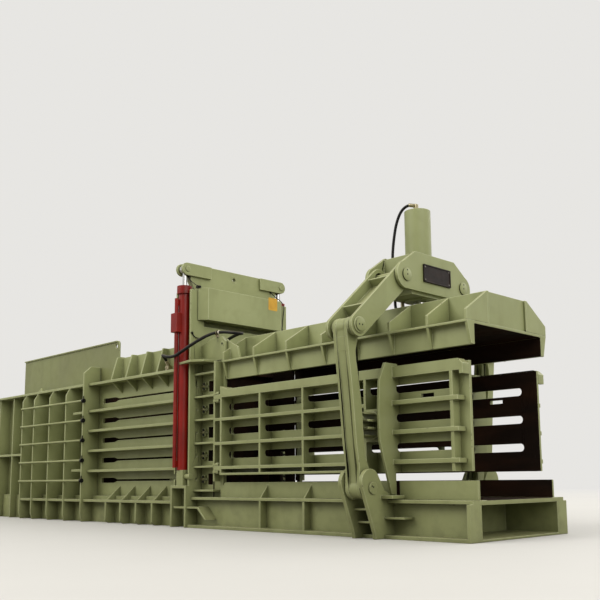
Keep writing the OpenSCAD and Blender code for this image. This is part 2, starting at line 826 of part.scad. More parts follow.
module lift_rods() {
    color(steel) both_sides() {
        rod_z(x_gate, -lift_y, lift_foot_z + 70, lift_pin_z - 36, lift_rod_d);
        rod_z(x_gate, -lift_y, lift_foot_z + 34, lift_foot_z + 84, lift_bore - 1);
        difference() {
            rod_x(x_gate - 26, x_gate + 14, -lift_y, lift_pin_z, 84);
            rod_x(x_gate - 50, x_gate + 50, -lift_y, lift_pin_z, 50 + 2 * run_gap);
        }
    }
}

// Ram

ram_low = floor_z + 14;
ram_top = roof_z - 12;
ram_y = in_y - ram_clear;

module ram_platen() {
    color(steel) block(ram_face - platen_t, ram_face, -ram_y, ram_y, ram_low, ram_top);
}

module ram_box() {
    t = 25;
    x0 = ram_face - ram_l;
    x1 = ram_face - platen_t;
    color(green) {
        both_sides() block(x0, x1, -ram_y + 20, -ram_y + 20 + t, ram_low + 16, ram_top);
        block(x0, x1, -ram_y + 20, ram_y - 20, ram_low + 16, ram_low + 16 + t);
        block(x0, x1, -ram_y + 20, ram_y - 20, ram_top - t, ram_top);
    }
}

module ram_shoes() {
    x0 = ram_face - ram_l;
    color(steel) both_sides() for (x = [x0, x0 + (ram_l - platen_t) / 2, ram_face - platen_t - 200])
        block(x, x + 200, -ram_y + 20, -ram_y + 110, floor_z + 1, ram_low + 16);
}

module main_rod() {
    color(steel) {
        rod_x(x_rear + 90, ram_face - platen_t - 30, 0, main_z, main_rod_d);
        rod_x(x_rear + 80, x_rear + 160, 0, main_z, main_d - 62);
        rod_x(ram_face - platen_t - 30, ram_face - platen_t, 0, main_z, main_rod_d + 120);
    }
}

// Roof

roof_pitch = 390;
roof_mid_x = roof_x0 + 3 * roof_pitch;
roof_xs = [
    for (i = [0 : 3]) roof_x0 + i * roof_pitch,
    for (i = [1 : 4]) roof_mid_x + (roof_x1 - roof_mid_x) * i / 4
];

module roof_panel() {
    z0 = ceiling_z;
    color(green) {
        block(roof_x0, roof_x1, -skirt_y, skirt_y, z0, z0 + ceiling_t);
        both_sides() {
            block(roof_x0, roof_x1, -skirt_y, -skirt_in_y, skirt_low, z0);
            block(roof_x0, roof_x1, -ledge_y, -skirt_y, z0 + 6, z0 + ceiling_t);
            block(roof_x0, roof_x1, -web_y - 10, -web_y + 10, z0 + ceiling_t, roof_top);
            for (x = roof_xs) cross_plate(x == roof_x1 ? x - 10 : x + 10, rib_t) polygon([
                [-ledge_y + 4, z0 + 6], [-skirt_y, z0 + 6], [-skirt_y, skirt_low], [-skirt_y - 8, skirt_low]
            ]);
        }
    }
}

module roof_ribs() {
    z0 = ceiling_z + ceiling_t;
    color(green) both_sides() {
        for (x = roof_xs) cross_plate(x == roof_x1 ? x - 10 : x + 10, rib_t) polygon([
            [-ledge_y, z0], [-ledge_y, z0 + 68], [-web_y - 10, roof_top], [-web_y - 10, z0]
        ]);
        difference() {
            union() {
                long_plate(-in_y - 9, 22) polygon([
                    [roof_hinge_x, roof_hinge_z - 45], [roof_x0, z0], [roof_x0 + 150, z0],
                    [roof_x0 + 110, roof_hinge_z - 40], [roof_hinge_x, roof_hinge_z + 45]
                ]);
                rod_y(roof_hinge_x, -in_y - 20, -in_y + 2, roof_hinge_z, 90);
            }
            rod_y(roof_hinge_x, -post_y, 0, roof_hinge_z, roof_pin_d + 2 * run_gap);
        }
    }
}

module rod_bracket() {
    z0 = ceiling_z + ceiling_t;
    bz = roof_top - 60;
    color(green) {
        for (s = [-1, 1]) difference() {
            union() {
                block(x_link + s * 75 - 15, x_link + s * 75 + 15, -90, 90, z0, bz);
                rod_x(x_link + s * 75 - 15, x_link + s * 75 + 15, 0, bz, 120);
            }
            rod_x(x_link - 100, x_link + 100, 0, bz, 60);
        }
        rod_x(x_link - 100, x_link + 100, 0, bz, 59.9);
        for (x = [x_link - 216, roof_x1 - 25])
            cross_plate(x, rib_t) translate([-web_y + 10, z0]) square([2 * web_y - 20, roof_top - z0]);
    }
}

// Squeeze walls, drawn for the near side

bay_xs = [wall_x0, wall_x0 + mullion_pitch, wall_x0 + 2 * mullion_pitch, wall_x0 + 3 * mullion_pitch, bay_x1];
rib_levels = [for (i = [0 : wire_n - 3]) wire_z[i] + wire_pitch / 2 - 8];

module slot_shape(x0, x1, z) {
    r = slot_h / 2;
    translate([x0 + r, z - r]) square([x1 - x0 - 2 * r, slot_h]);
    for (x = [x0 + r, x1 - r]) translate([x, z]) circle(r = r);
}

module wall_panel() {
    color(green) long_plate(-in_y - wall_t / 2, wall_t) difference() {
        translate([wall_x0, wall_low]) square([wall_x1 - wall_x0, wall_top - wall_low]);
        for (i = [1 : wire_n - 2]) {
            slot_shape(wall_x0 + 4, outlet_stile_x - rib_t, wire_z[i]);
        }
        translate([bow_x + 196, rib_levels[2] + 34]) square([107, 27]);
    }
}

// Round-ended notch that lets a needle through a stile
module wire_notch(x, z, depth) {
    r = slot_h / 2;
    block(x - rib_t, x + rib_t, -out_y - depth + r, -out_y + 1, z - r, z + r);
    rod_x(x - rib_t, x + rib_t, -out_y - depth + r, z, slot_h);
}

module wall_stile(x) {
    difference() {
        cross_plate(x, rib_t) translate([-bay_y, wall_low]) square([bay_y - out_y, wall_top - wall_low]);
        for (i = [1 : wire_n - 2]) wire_notch(x, wire_z[i], x > wall_x0 + rib_t ? notch_d : notch_d / 2);
    }
}

module wall_bays() {
    color(green) {
        for (x = bay_xs) wall_stile(x + rib_t / 2);
        for (z = rib_levels) block(wall_x0, bay_x1, -bay_y, -out_y, z - bar_t / 2, z + bar_t / 2);
        block(wall_x0, bay_x1, -bay_y, -out_y, wall_low, wall_low + bar_t - 6);
        block(wall_x0, bow_x - rib_t / 2, -bay_y, -out_y, wall_top - 66, wall_top);
        long_plate(-(bay_y + out_y) / 2, bay_y - out_y) polygon([
            [wall_x0, wall_top], [wall_x0 + gusset_l, wall_top], [wall_x0, wall_top + 28]
        ]);
        for (h = hinge_levels) knuckle(h[0], h[1])
            block(hinge_x - 26, wall_x0, -hinge_y - 25, -hinge_y + 25, h[0], h[1]);
        for (z = rib_levels) if (z > hinge_levels[0][1])
            block(hinge_x - 20, wall_x0, -bay_y, -hinge_y, z - bar_t / 2, z + bar_t / 2);
        for (z = [pad_z - pad_r, pad_z + pad_r])
            block(bay_x1 + rib_t, bow_x - rib_t / 2, -bay_y, -out_y, z - 10, z + 10);
    }
}

module wall_outlet() {
    top = wall_top + 10;
    color(green) difference() {
        union() {
            cross_plate(bow_x, rib_t) polygon([
                [-out_y, wall_low], [-out_y, wall_top], [-out_y - 20, top + 22], [-572, top + 22],
                [-632, wall_top - 90], [-646, mid_z + 45], [-640, mid_z - 155], [-528, bow_low],
                [-out_y - 55, bow_low], [-out_y - 55, wall_low]
            ]);
            for (z = rib_levels)
                block(bow_x, wall_x1 - 40, -outlet_y - 8, -out_y, z - bar_t / 2 + 5, z + bar_t / 2 + 11);
            long_plate(-(outlet_y + out_y) / 2, outlet_y - out_y) polygon([
                [bow_x, top - 76], [bow_x, top], [wall_x1 - 36, top], [wall_x1, top - 32],
                [wall_x1, top - 100], [wall_x1 - 30, top - 100], [wall_x1 - 30, top - 76]
            ]);
            block(outlet_stile_x, outlet_stile_x + 24, -outlet_y, -out_y, wall_low, top - 76);
        }
        for (i = [1 : wire_n - 2]) wire_notch(bow_x, wire_z[i], notch_d / 2);
    }
}

// Point of a link's side profile: share of the way from the lower to the upper pin, distance from their line
function link_at(k, off) = [
    off - link_low_y - k * (link_top_y - link_low_y), link_low_z + k * (link_top_z - link_low_z)
];
link_out = [
    link_at(0.0985, -55.7), link_at(0.2835, -65.4), link_at(0.513, -61),
    link_at(0.6691, -61.1), link_at(0.7872, -64.5), link_at(0.9349, -65.5)
];
link_in = [
    link_at(0.9071, 6.3), link_at(0.7797, 3.7), link_at(0.6626, 12.2),
    link_at(0.5093, 18.6), link_at(0.2807, 10.3), link_at(0.1171, 1.5)
];
pad_face = lookup(pad_z - 52, [for (p = link_in) [p[1], -p[0]]]) - pad_gap;

module pressure_pad() {
    x = x_link - 24;
    color(green) {
        difference() {
            rod_y(x, -bay_y - 14, -out_y, pad_z, 2 * pad_r - 24);
            block(x - pad_r, bay_x1 + rib_t, -bay_y, 0, pad_z - pad_r, pad_z + pad_r);
        }
        rod_y(x, -bay_y - 16, -bay_y, pad_z, 2 * pad_r);
        rod_y(x, -pad_face, -bay_y - 15, pad_z, 70);
        intersection() {
            rod_y(x, -pad_face + 40, -bay_y - 15, pad_z, 2 * pad_r - 16);
            for (z = [-78, -26, 26, 78])
                block(x - pad_r, x + pad_r, -pad_face, -bay_y - 15, pad_z + z - 8, pad_z + z + 8);
        }
    }
}

// Linkage, drawn for the near side

module link_outline(inset) {
    polygon(concat(
        [for (p = link_out) p + [inset, 0]],
        [for (p = link_in) p - [inset, 0]]
    ));
}

link_side_t = 28;

module link_body() {
    w = link_wx / 2 + 10;
    color(green) {
        difference() {
            union() {
                for (s = [-1, 1]) cross_plate(x_link + s * (link_wx - link_side_t) / 2, link_side_t) {
                    link_outline(0);
                    tangent_bar([-link_low_y, link_low_z], 78, link_at(0.1543, -17.3), 36);
                    tangent_bar([-link_top_y, link_top_z], 64, link_at(0.8513, -30.1), 36);
                }
                cross_plate(x_link, link_wx - 2 * link_side_t) {
                    link_outline(6);
                    tangent_bar([-link_low_y, link_low_z], 60, link_at(0.1543, -17.3), 30);
                    tangent_bar([-link_top_y, link_top_z], 54, link_at(0.8513, -30.1), 30);
                }
                rod_x(x_link - w, x_link + w, -link_low_y, link_low_z, 140);
                rod_x(x_link - w, x_link + w, -link_top_y, link_top_z, 122);
            }
            rod_x(x_link - 200, x_link + 200, -link_low_y, link_low_z, pin_d + 2 * run_gap);
        }
        rod_x(x_link - arm_x - 10, x_link + arm_x + 10, -link_top_y, link_top_z, pin_d);
        for (s = [-1, 1]) rod_x(x_link + s * (arm_x + 5.5) - 4.5, x_link + s * (arm_x + 5.5) + 4.5,
            -link_top_y, link_top_z, 112);
    }
}

arm_x = yoke_x - yoke_t - arm_gap;

module arm_outline() {
    difference() {
        tangent_bar([-link_top_y, link_top_z], 78, [-yoke_y, yoke_z], 84);
        translate([-link_top_y, link_top_z]) circle(d = pin_d + 2 * run_gap);
        translate([-yoke_y, yoke_z]) circle(d = pin_d + 26);
    }
}

module arm_body() {
    span = [yoke_y - link_top_y, yoke_z - link_top_z];
    tilt = atan2(yoke_z - link_top_z, link_top_y - yoke_y);
    len = norm(span);
    color(green) {
        for (s = [-1, 1]) cross_plate(x_link + s * (arm_x - arm_t / 2), arm_t) arm_outline();
        translate([x_link, -link_top_y, link_top_z]) rotate([tilt, 0, 0]) {
            w = arm_x - arm_t;
            block(-w, w, 165, len - 95, -9, 9);
            for (y = [165, len - 110]) block(-w, w, y, y + 15, -62, 70);
        }
    }
}

yoke_r = 100;

module yoke_outline() {
    difference() {
        union() {
            for (s = [-1, 1]) translate([s * yoke_y, yoke_z]) circle(r = yoke_r);
            polygon([
                [-yoke_y, yoke_z - yoke_r], [yoke_y, yoke_z - yoke_r],
                [yoke_y + yoke_r * cos(42), yoke_z + yoke_r * sin(42)], [yoke_y - 104, yoke_z + 190],
                [104 - yoke_y, yoke_z + 190], [-yoke_y - yoke_r * cos(42), yoke_z + yoke_r * sin(42)]
            ]);
        }
        for (s = [-1, 1]) translate([s * yoke_y, yoke_z]) circle(d = pin_d);
    }
}

yoke_plate_low = yoke_z - yoke_r - 26;

module yoke_plates() {
    x0 = x_link - yoke_x + yoke_t;
    x1 = x_link + yoke_x - yoke_t;
    end_y = yoke_y - 104;
    color(green) {
        for (s = [-1, 1]) cross_plate(x_link + s * (yoke_x - yoke_t / 2), yoke_t) yoke_outline();
        difference() {
            block(x0, x1, -end_y - 1, end_y + 1, yoke_plate_low + 4, yoke_plate_low + 32);
            rod_z(x_link, 0, 0, squeeze_top, squeeze_d + 2 * run_gap);
        }
        both_sides() block(x0, x1, -end_y - 14, -end_y, yoke_plate_low + 4, yoke_z + 176);
    }
}

module yoke_pins() {
    color(green) for (s = [-1, 1]) {
        rod_x(x_link - yoke_x - 8, x_link + yoke_x + 8, s * yoke_y, yoke_z, pin_d - 0.1);
        for (t = [-1, 1]) difference() {
            w = arm_gap - run_gap;
            rod_x(x_link + t * (yoke_x - yoke_t - w / 2) - w / 2, x_link + t * (yoke_x - yoke_t - w / 2) + w / 2,
                s * yoke_y, yoke_z, pin_d + 50);
            rod_x(x_link - yoke_x, x_link + yoke_x, s * yoke_y, yoke_z, pin_d - 0.1);
        }
    }
}

squeeze_low = yoke_plate_low - 2;
squeeze_bore = squeeze_d - 40;
squeeze_rod_d = 100;

module squeeze_barrel() {
    color(green) difference() {
        union() {
            rod_z(x_link, 0, squeeze_low, squeeze_top, squeeze_d);
            rod_z(x_link, 0, squeeze_low, yoke_plate_low + 4, squeeze_d + 36);
        }
        rod_z(x_link, 0, squeeze_low + 50, squeeze_top - 40, squeeze_bore);
        rod_z(x_link, 0, squeeze_low - 1, squeeze_low + 51, squeeze_rod_d + 2 * run_gap);
    }
}

// Black hose from the top of the squeeze cylinder down behind the yoke to a port under it
module squeeze_hose() {
    x = x_link;
    z = squeeze_top;
    low = yoke_plate_low;
    h = z - low;
    color(black) tube_path([
        [x - 8, -24, z + 46], [x - 30, -50, z + 48], [x - 52, -66, z + 40], [x - 80, -78, z + 18],
        [x - 110, -83, z - 22], [x - 140, -85, z - 0.13 * h], [x - 162, -85, z - 0.26 * h],
        [x - 178, -83, z - 0.39 * h], [x - 186, -80, z - 0.5 * h], [x - 188, -72, z - 0.69 * h],
        [x - 188, -62, low + 60], [x - 188, -58, low - 10], [x - 180, -58, low - 38],
        [x - 162, -60, low - 54], [x - 140, -62, low - 54], [x - 120, -64, low - 38],
        [x - 112, -66, low - 12], [x - 112, -66, low + 4]
    ], 11);
    color(steel) {
        rod_z(x - 2, -10, z, z + 12, 36);
        block(x - 14, x + 10, -28, 6, z + 12, z + 58);
    }
}

module squeeze_rod() {
    bz = roof_top - 60;
    color(steel) {
        rod_z(x_link, 0, bz + 50, squeeze_top - 190, squeeze_rod_d);
        rod_z(x_link, 0, squeeze_top - 230, squeeze_top - 150, squeeze_bore - 1);
        difference() {
            rod_x(x_link - 45, x_link + 45, 0, bz, 116);
            rod_x(x_link - 60, x_link + 60, 0, bz, 76);
        }
    }
}

module near() { children(); }
module far() { mirror([0, 1, 0]) children(); }

base_frame();
floor_plate();
grid_side_plates();
grid_ribs();
feed_hopper();
wire_tubes();
wire_tube_ends();
tie_side_plates();
tie_bars();
tie_gussets();
tie_roof();
portal_plates();
gate_guides();
station_plates();
wire_clamps();
column_shelves();
roof_hinge_plates();
lift_barrels();
lift_pipes();
lift_feet();
neck_base();
neck_braces();
link_lugs();
lug_pins();
wall_hinge_pins();
roof_hinge_pins();
rear_side_plates();
rear_bulkhead();
main_cylinder();
bulkhead_bolts();
lift_hose();
gate_plate();
gate_beam();
gate_lugs();
gate_pins();
lift_rods();
ram_platen();
ram_box();
ram_shoes();
main_rod();
roof_panel();
roof_ribs();
rod_bracket();
near() wall_panel();  // wall_near_panel
near() wall_bays();  // wall_near_bays
near() wall_outlet();  // wall_near_outlet
near() pressure_pad();  // pad_near
far() wall_panel();  // wall_far_panel
far() wall_bays();  // wall_far_bays
far() wall_outlet();  // wall_far_outlet
far() pressure_pad();  // pad_far
near() link_body();  // link_near
far() link_body();  // link_far
near() arm_body();  // arm_near
far() arm_body();  // arm_far
yoke_plates();
yoke_pins();
squeeze_barrel();
squeeze_hose();
squeeze_rod();
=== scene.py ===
"""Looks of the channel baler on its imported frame, in metres: finishes, hoses, pin ends, cables and plates."""

import math

import bmesh
import bpy
from mathutils import Matrix, Vector


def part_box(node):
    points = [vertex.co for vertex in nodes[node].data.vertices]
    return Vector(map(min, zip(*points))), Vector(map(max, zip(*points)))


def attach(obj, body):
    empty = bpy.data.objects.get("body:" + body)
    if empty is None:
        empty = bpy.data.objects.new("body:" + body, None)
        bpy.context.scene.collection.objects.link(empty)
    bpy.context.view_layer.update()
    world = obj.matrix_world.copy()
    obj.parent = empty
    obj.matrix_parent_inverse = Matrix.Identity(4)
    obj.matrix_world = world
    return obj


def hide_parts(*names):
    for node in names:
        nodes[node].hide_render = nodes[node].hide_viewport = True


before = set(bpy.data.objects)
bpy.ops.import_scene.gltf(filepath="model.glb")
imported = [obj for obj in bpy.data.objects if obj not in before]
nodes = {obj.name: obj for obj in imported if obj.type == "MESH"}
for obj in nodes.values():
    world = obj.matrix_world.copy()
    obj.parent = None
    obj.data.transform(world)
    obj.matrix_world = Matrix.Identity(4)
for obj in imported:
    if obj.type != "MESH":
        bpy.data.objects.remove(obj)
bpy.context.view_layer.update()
scene = bpy.context.scene

# Camera of the photograph

CAMERA_PLACE = Vector((7.581, -4.846, 0.393))
CAMERA_AZIMUTH = math.radians(45.02)
CAMERA_RISE = math.radians(-8.23)
CAMERA_ROLL = math.radians(-0.56)
CAMERA_LENS = 49.71
CAMERA_SHIFT = (-0.0282, 0.0994)


def make_camera():
    """Camera that looks up at the outlet end from the near side."""
    a, e, r = CAMERA_AZIMUTH, CAMERA_RISE, CAMERA_ROLL
    back = Vector((math.sin(a) * math.cos(e), -math.cos(a) * math.cos(e), math.sin(e)))
    level = Vector((math.cos(a), math.sin(a), 0))
    upright = back.cross(level)
    right = level * math.cos(r) + upright * math.sin(r)
    up = upright * math.cos(r) - level * math.sin(r)
    data = bpy.data.cameras.new("camera")
    data.sensor_width = 36
    data.lens = CAMERA_LENS
    data.shift_x, data.shift_y = CAMERA_SHIFT
    data.clip_start, data.clip_end = 0.1, 200
    camera = bpy.data.objects.new("camera", data)
    camera.matrix_world = Matrix.Translation(CAMERA_PLACE) @ Matrix((right, up, back)).transposed().to_4x4()
    scene.collection.objects.link(camera)
    scene.camera = camera


# Materials

def srgb(red, green, blue):
    """Linear colour of an 8-bit screen colour."""
    linear = []
    for level in (red, green, blue):
        share = level / 255
        linear.append(((share + 0.055) / 1.055) ** 2.4 if level > 10 else share / 12.92)
    return (*linear, 1)


class Shader:
    """A material with a Principled shader, and short ways to add nodes to it."""

    def __init__(self, name):
        self.material = bpy.data.materials.new(name)
        self.material.use_nodes = True
        self.tree = self.material.node_tree
        self.surface = self.tree.nodes["Principled BSDF"]
        coords = self.add("ShaderNodeTexCoord")
        self.place = coords.outputs["Object"]
        self.facing = coords.outputs["Normal"]

    def add(self, kind, inputs=None, **settings):
        """New node with its inputs linked or set, and its settings."""
        made = self.tree.nodes.new(kind)
        for key, value in settings.items():
            setattr(made, key, value)
        for key, value in (inputs or {}).items():
            self.put(made.inputs[key], value)
        return made

    def put(self, socket, value):
        """Links the socket to another node's output, or sets its value."""
        if isinstance(value, bpy.types.NodeSocket):
            self.tree.links.new(value, socket)
        else:
            socket.default_value = value

    def set(self, **values):
        """Links or sets the shader's own sockets, named with _ for a space."""
        for key, value in values.items():
            self.put(self.surface.inputs[key.replace("_", " ")], value)

    def noise(self, scale, detail, stretch=(1, 1, 1), distortion=0):
        """Noise whose scale is in repeats a metre."""
        where = self.add("ShaderNodeMapping", {"Vector": self.place, "Scale": stretch}).outputs[0]
        values = {"Vector": where, "Scale": scale, "Detail": detail, "Distortion": distortion}
        return self.add("ShaderNodeTexNoise", values).outputs["Fac"]

    def ramp(self, value, low, high, to_low=0, to_high=1):
        """Value moved from the range low to high to the range to_low to to_high, and held there."""
        values = {"Value": value, "From Min": low, "From Max": high, "To Min": to_low, "To Max": to_high}
        return self.add("ShaderNodeMapRange", values, clamp=True).outputs["Result"]

    def patches(self, scale, detail, low, high, to_low=0, to_high=1, **form):
        """Noise that gives to_low where it is under low and to_high where it is over high."""
        return self.ramp(self.noise(scale, detail, **form), low, high, to_low, to_high)

    def math(self, operation, a, b=0):
        """Result of one operation on numbers."""
        return self.add("ShaderNodeMath", {0: a, 1: b}, operation=operation).outputs[0]

    def mix(self, factor, a, b):
        """Colour that is a where factor is 0 and b where it is 1."""
        made = self.add("ShaderNodeMix", data_type="RGBA")
        self.put(made.inputs[0], factor)
        self.put(made.inputs[6], a)
        self.put(made.inputs[7], b)
        return made.outputs[2]

    def axes(self, vector):
        """The x, y and z of a vector."""
        return self.add("ShaderNodeSeparateXYZ", {0: vector}).outputs

    def bump(self, height, distance, strength, under=None):
        """Normal that follows a height, on top of the bump under it."""
        made = self.add("ShaderNodeBump", {"Height": height, "Distance": distance, "Strength": strength})
        if under is not None:
            self.put(made.inputs["Normal"], under)
        return made.outputs["Normal"]


GREEN = srgb(147, 154, 108)
GREEN_PALE = srgb(160, 167, 121)
GREEN_DEEP = srgb(129, 135, 89)
# Lighter paint of the eased edges: wear and painted highlight
GREEN_EDGE_WEAR_AND_HIGHLIGHT = srgb(180, 187, 145)
# Painted shade low down, and also the deep tone of the hopper's paint
GREEN_DARK_AND_LOW_SHADE = srgb(112, 114, 71)
# Painted shade in corners and recesses
GREEN_CORNER_SHADE = srgb(70, 71, 42)
# Hopper's green, darkened as painted shade
GREEN_HOPPER_SHADE = srgb(122, 126, 86)
DUST = srgb(168, 160, 128)
SOOT = srgb(70, 64, 44)
# Near-black steel of the channel's insides: bare steel darkened as painted shade
SHADED_LINER_STEEL = srgb(30, 22, 17)
LINER_RUST = srgb(52, 33, 22)
RED = srgb(146, 24, 11)
# Lighter red of the eased edges: wear and painted highlight
RED_DEEP = srgb(100, 13, 6)
RED_EDGE_WEAR_AND_HIGHLIGHT = srgb(164, 62, 46)
# Reach of the painted shade in corners
CORNER_SHADE_REACH = 0.14

# Where bales rub the paint off, painted near-black as shade of the interior: the insides of the press channel
# and of the windows beside the gate
CHANNEL_HALF_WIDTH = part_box("tie_side_plates")[1].y - 0.0235
SKIRT_HALF_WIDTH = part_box("roof_panel")[1].y - 0.012
STATION_X = (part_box("station_plates")[0].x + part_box("station_plates")[1].x) / 2
STATION_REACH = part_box("station_plates")[1].x - STATION_X + 0.001
WINDOW_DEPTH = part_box("station_plates")[1].y + 0.001
CHANNEL_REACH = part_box("floor_plate")[1].x - 0.12
CHANNEL_AXIS_Z = 0.8
CHANNEL_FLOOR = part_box("floor_plate")[1].z
CEILING_HEIGHT = 1.41
FACES_AXIS = -0.1
FACES_END = 0.7


def channel_wear_and_shade_mask(shader):
    """1 on the faces that bound the press channel, which bales rub down to bare steel, painted near-black as
    shade of the interior.
    """
    x, y, z = shader.axes(shader.place)
    nx, ny, nz = shader.axes(shader.facing)
    aside = shader.math("ABSOLUTE", y)
    low = shader.math("GREATER_THAN", z, CHANNEL_FLOOR - 0.01)
    high = shader.math("LESS_THAN", z, CEILING_HEIGHT)
    across = shader.math("LESS_THAN", shader.math("MULTIPLY", y, ny), FACES_AXIS)
    across = shader.math("MULTIPLY", across, shader.math("LESS_THAN", aside, SKIRT_HALF_WIDTH))
    upward = shader.math("MULTIPLY", shader.math("SUBTRACT", z, CHANNEL_AXIS_Z), nz)
    upward = shader.math("LESS_THAN", upward, FACES_AXIS)
    upward = shader.math("MULTIPLY", upward, shader.math("LESS_THAN", aside, CHANNEL_HALF_WIDTH))
    from_windows = shader.math("ABSOLUTE", shader.math("SUBTRACT", x, STATION_X))
    near_windows = shader.math("LESS_THAN", from_windows, STATION_REACH)
    depth = shader.ramp(near_windows, 0, 1, CHANNEL_HALF_WIDTH, WINDOW_DEPTH)
    lengthways = shader.math("GREATER_THAN", shader.math("ABSOLUTE", nx), FACES_END)
    lengthways = shader.math("MULTIPLY", lengthways, shader.math("LESS_THAN", aside, depth))
    between_ends = shader.math("LESS_THAN", shader.math("ABSOLUTE", x), CHANNEL_REACH)
    lengthways = shader.math("MULTIPLY", lengthways, between_ends)
    inward = shader.math("MAXIMUM", shader.math("MAXIMUM", across, upward), lengthways)
    return shader.math("MULTIPLY", inward, shader.math("MULTIPLY", low, high))


def green_paint(name, base, pale, deep, worn):
    """Sprayed enamel: uneven coat, streaks, dust on what faces up, grime near the floor, painted shade towards
    the bottom and in corners.
    """
    shader = Shader(name)
    z = shader.axes(shader.place)[2]
    nz = shader.axes(shader.facing)[2]
    colour = shader.mix(shader.patches(1.4, 4, 0.35, 0.65), base, pale)
    colour = shader.mix(shader.patches(5, 5, 0.5, 0.8, 0, 0.5, distortion=0.6), colour, deep)
    colour = shader.mix(shader.patches(7, 4, 0.52, 0.78, 0, 0.45, stretch=(1, 1, 0.12)), colour, deep)
    dusty = shader.math("MULTIPLY", shader.ramp(nz, 0.5, 0.95), shader.patches(9, 5, 0.3, 0.7, 0.1, 0.55))
    colour = shader.mix(dusty, colour, DUST)
    # Painted shade: darker towards the bottom
    colour = shader.mix(shader.ramp(z, 1.7, 0.1, 0, 0.42), colour, GREEN_DARK_AND_LOW_SHADE)
    grime = shader.math("MULTIPLY", shader.ramp(z, 0.5, 0.02), shader.patches(11, 5, 0.45, 0.8, 0.03, 0.4))
    colour = shader.mix(grime, colour, SOOT)
    # Painted shade in corners and recesses, where ambient occlusion finds nearby surfaces
    open_sky = shader.add("ShaderNodeAmbientOcclusion", {"Distance": CORNER_SHADE_REACH}, samples=4).outputs["AO"]
    colour = shader.mix(shader.ramp(open_sky, 0.85, 0.2, 0, 0.5), colour, GREEN_CORNER_SHADE)
    if worn:
        colour = shader.mix(shader.patches(38, 5, 0.64, 0.7, 0, 0.75), colour, SOOT)
    # Near-black bare steel inside the channel, partly painted shade of the interior
    shaded_liner = shader.mix(shader.patches(6, 5, 0.4, 0.7, stretch=(0.25, 1, 1)), SHADED_LINER_STEEL, LINER_RUST)
    bare_and_shaded = channel_wear_and_shade_mask(shader)
    colour = shader.mix(bare_and_shaded, colour, shaded_liner)
    rough = shader.patches(14, 4, 0.3, 0.7, 0.36, 0.52)
    rough = shader.math("ADD", rough, shader.math("MULTIPLY", bare_and_shaded, 0.3))
    coarse = shader.bump(shader.noise(2.2, 2), 0.012, 0.25)
    fine = shader.bump(shader.noise(240, 2), 0.0006, 0.5, coarse)
    shader.set(Base_Color=colour, Roughness=rough, Normal=fine)
    shader.set(Specular_IOR_Level=shader.ramp(bare_and_shaded, 0, 1, 0.3, 0.08))
    return shader.material


def red_paint(name, base, deep):
    """Glossy enamel on the lift cylinders, a little rubbed."""
    shader = Shader(name)
    colour = shader.mix(shader.patches(3, 4, 0.35, 0.7), base, deep)
    colour = shader.mix(shader.patches(16, 5, 0.58, 0.75, 0, 0.4, stretch=(1, 1, 0.15)), colour, SOOT)
    fine = shader.bump(shader.noise(160, 2), 0.0005, 0.4)
    shader.set(Base_Color=colour, Roughness=shader.patches(20, 4, 0.3, 0.7, 0.3, 0.45), Normal=fine)
    shader.set(Specular_IOR_Level=0.25, Coat_Weight=0.08, Coat_Roughness=0.15)
    return shader.material


def bare_steel(name, base, deep, rough_low, rough_high, grain=(1, 1, 1)):
    """Metal whose grain is stretched along the axis with the smallest factor."""
    shader = Shader(name)
    colour = shader.mix(shader.patches(12, 5, 0.3, 0.75, stretch=grain), base, deep)
    rough = shader.patches(60, 4, 0.3, 0.7, rough_low, rough_high, stretch=grain)
    fine = shader.bump(shader.noise(300, 2, grain), 0.0003, 0.4)
    shader.set(Base_Color=colour, Roughness=rough, Normal=fine, Metallic=1.0)
    return shader.material


def dull_coat(name, base, pale, rough, scale):
    """Rubber, plastic, tape or flat paint with a fine grain and a little dust."""
    shader = Shader(name)
    nz = shader.axes(shader.facing)[2]
    colour = shader.mix(shader.patches(20, 4, 0.4, 0.75), base, pale)
    colour = shader.mix(shader.ramp(nz, 0.4, 1, 0, 0.3), colour, DUST)
    finish = shader.patches(30, 3, 0.3, 0.7, rough - 0.08, rough + 0.08)
    fine = shader.bump(shader.noise(scale, 2), 0.0004, 0.6)
    shader.set(Base_Color=colour, Roughness=finish, Normal=fine, Specular_IOR_Level=0.2)
    return shader.material


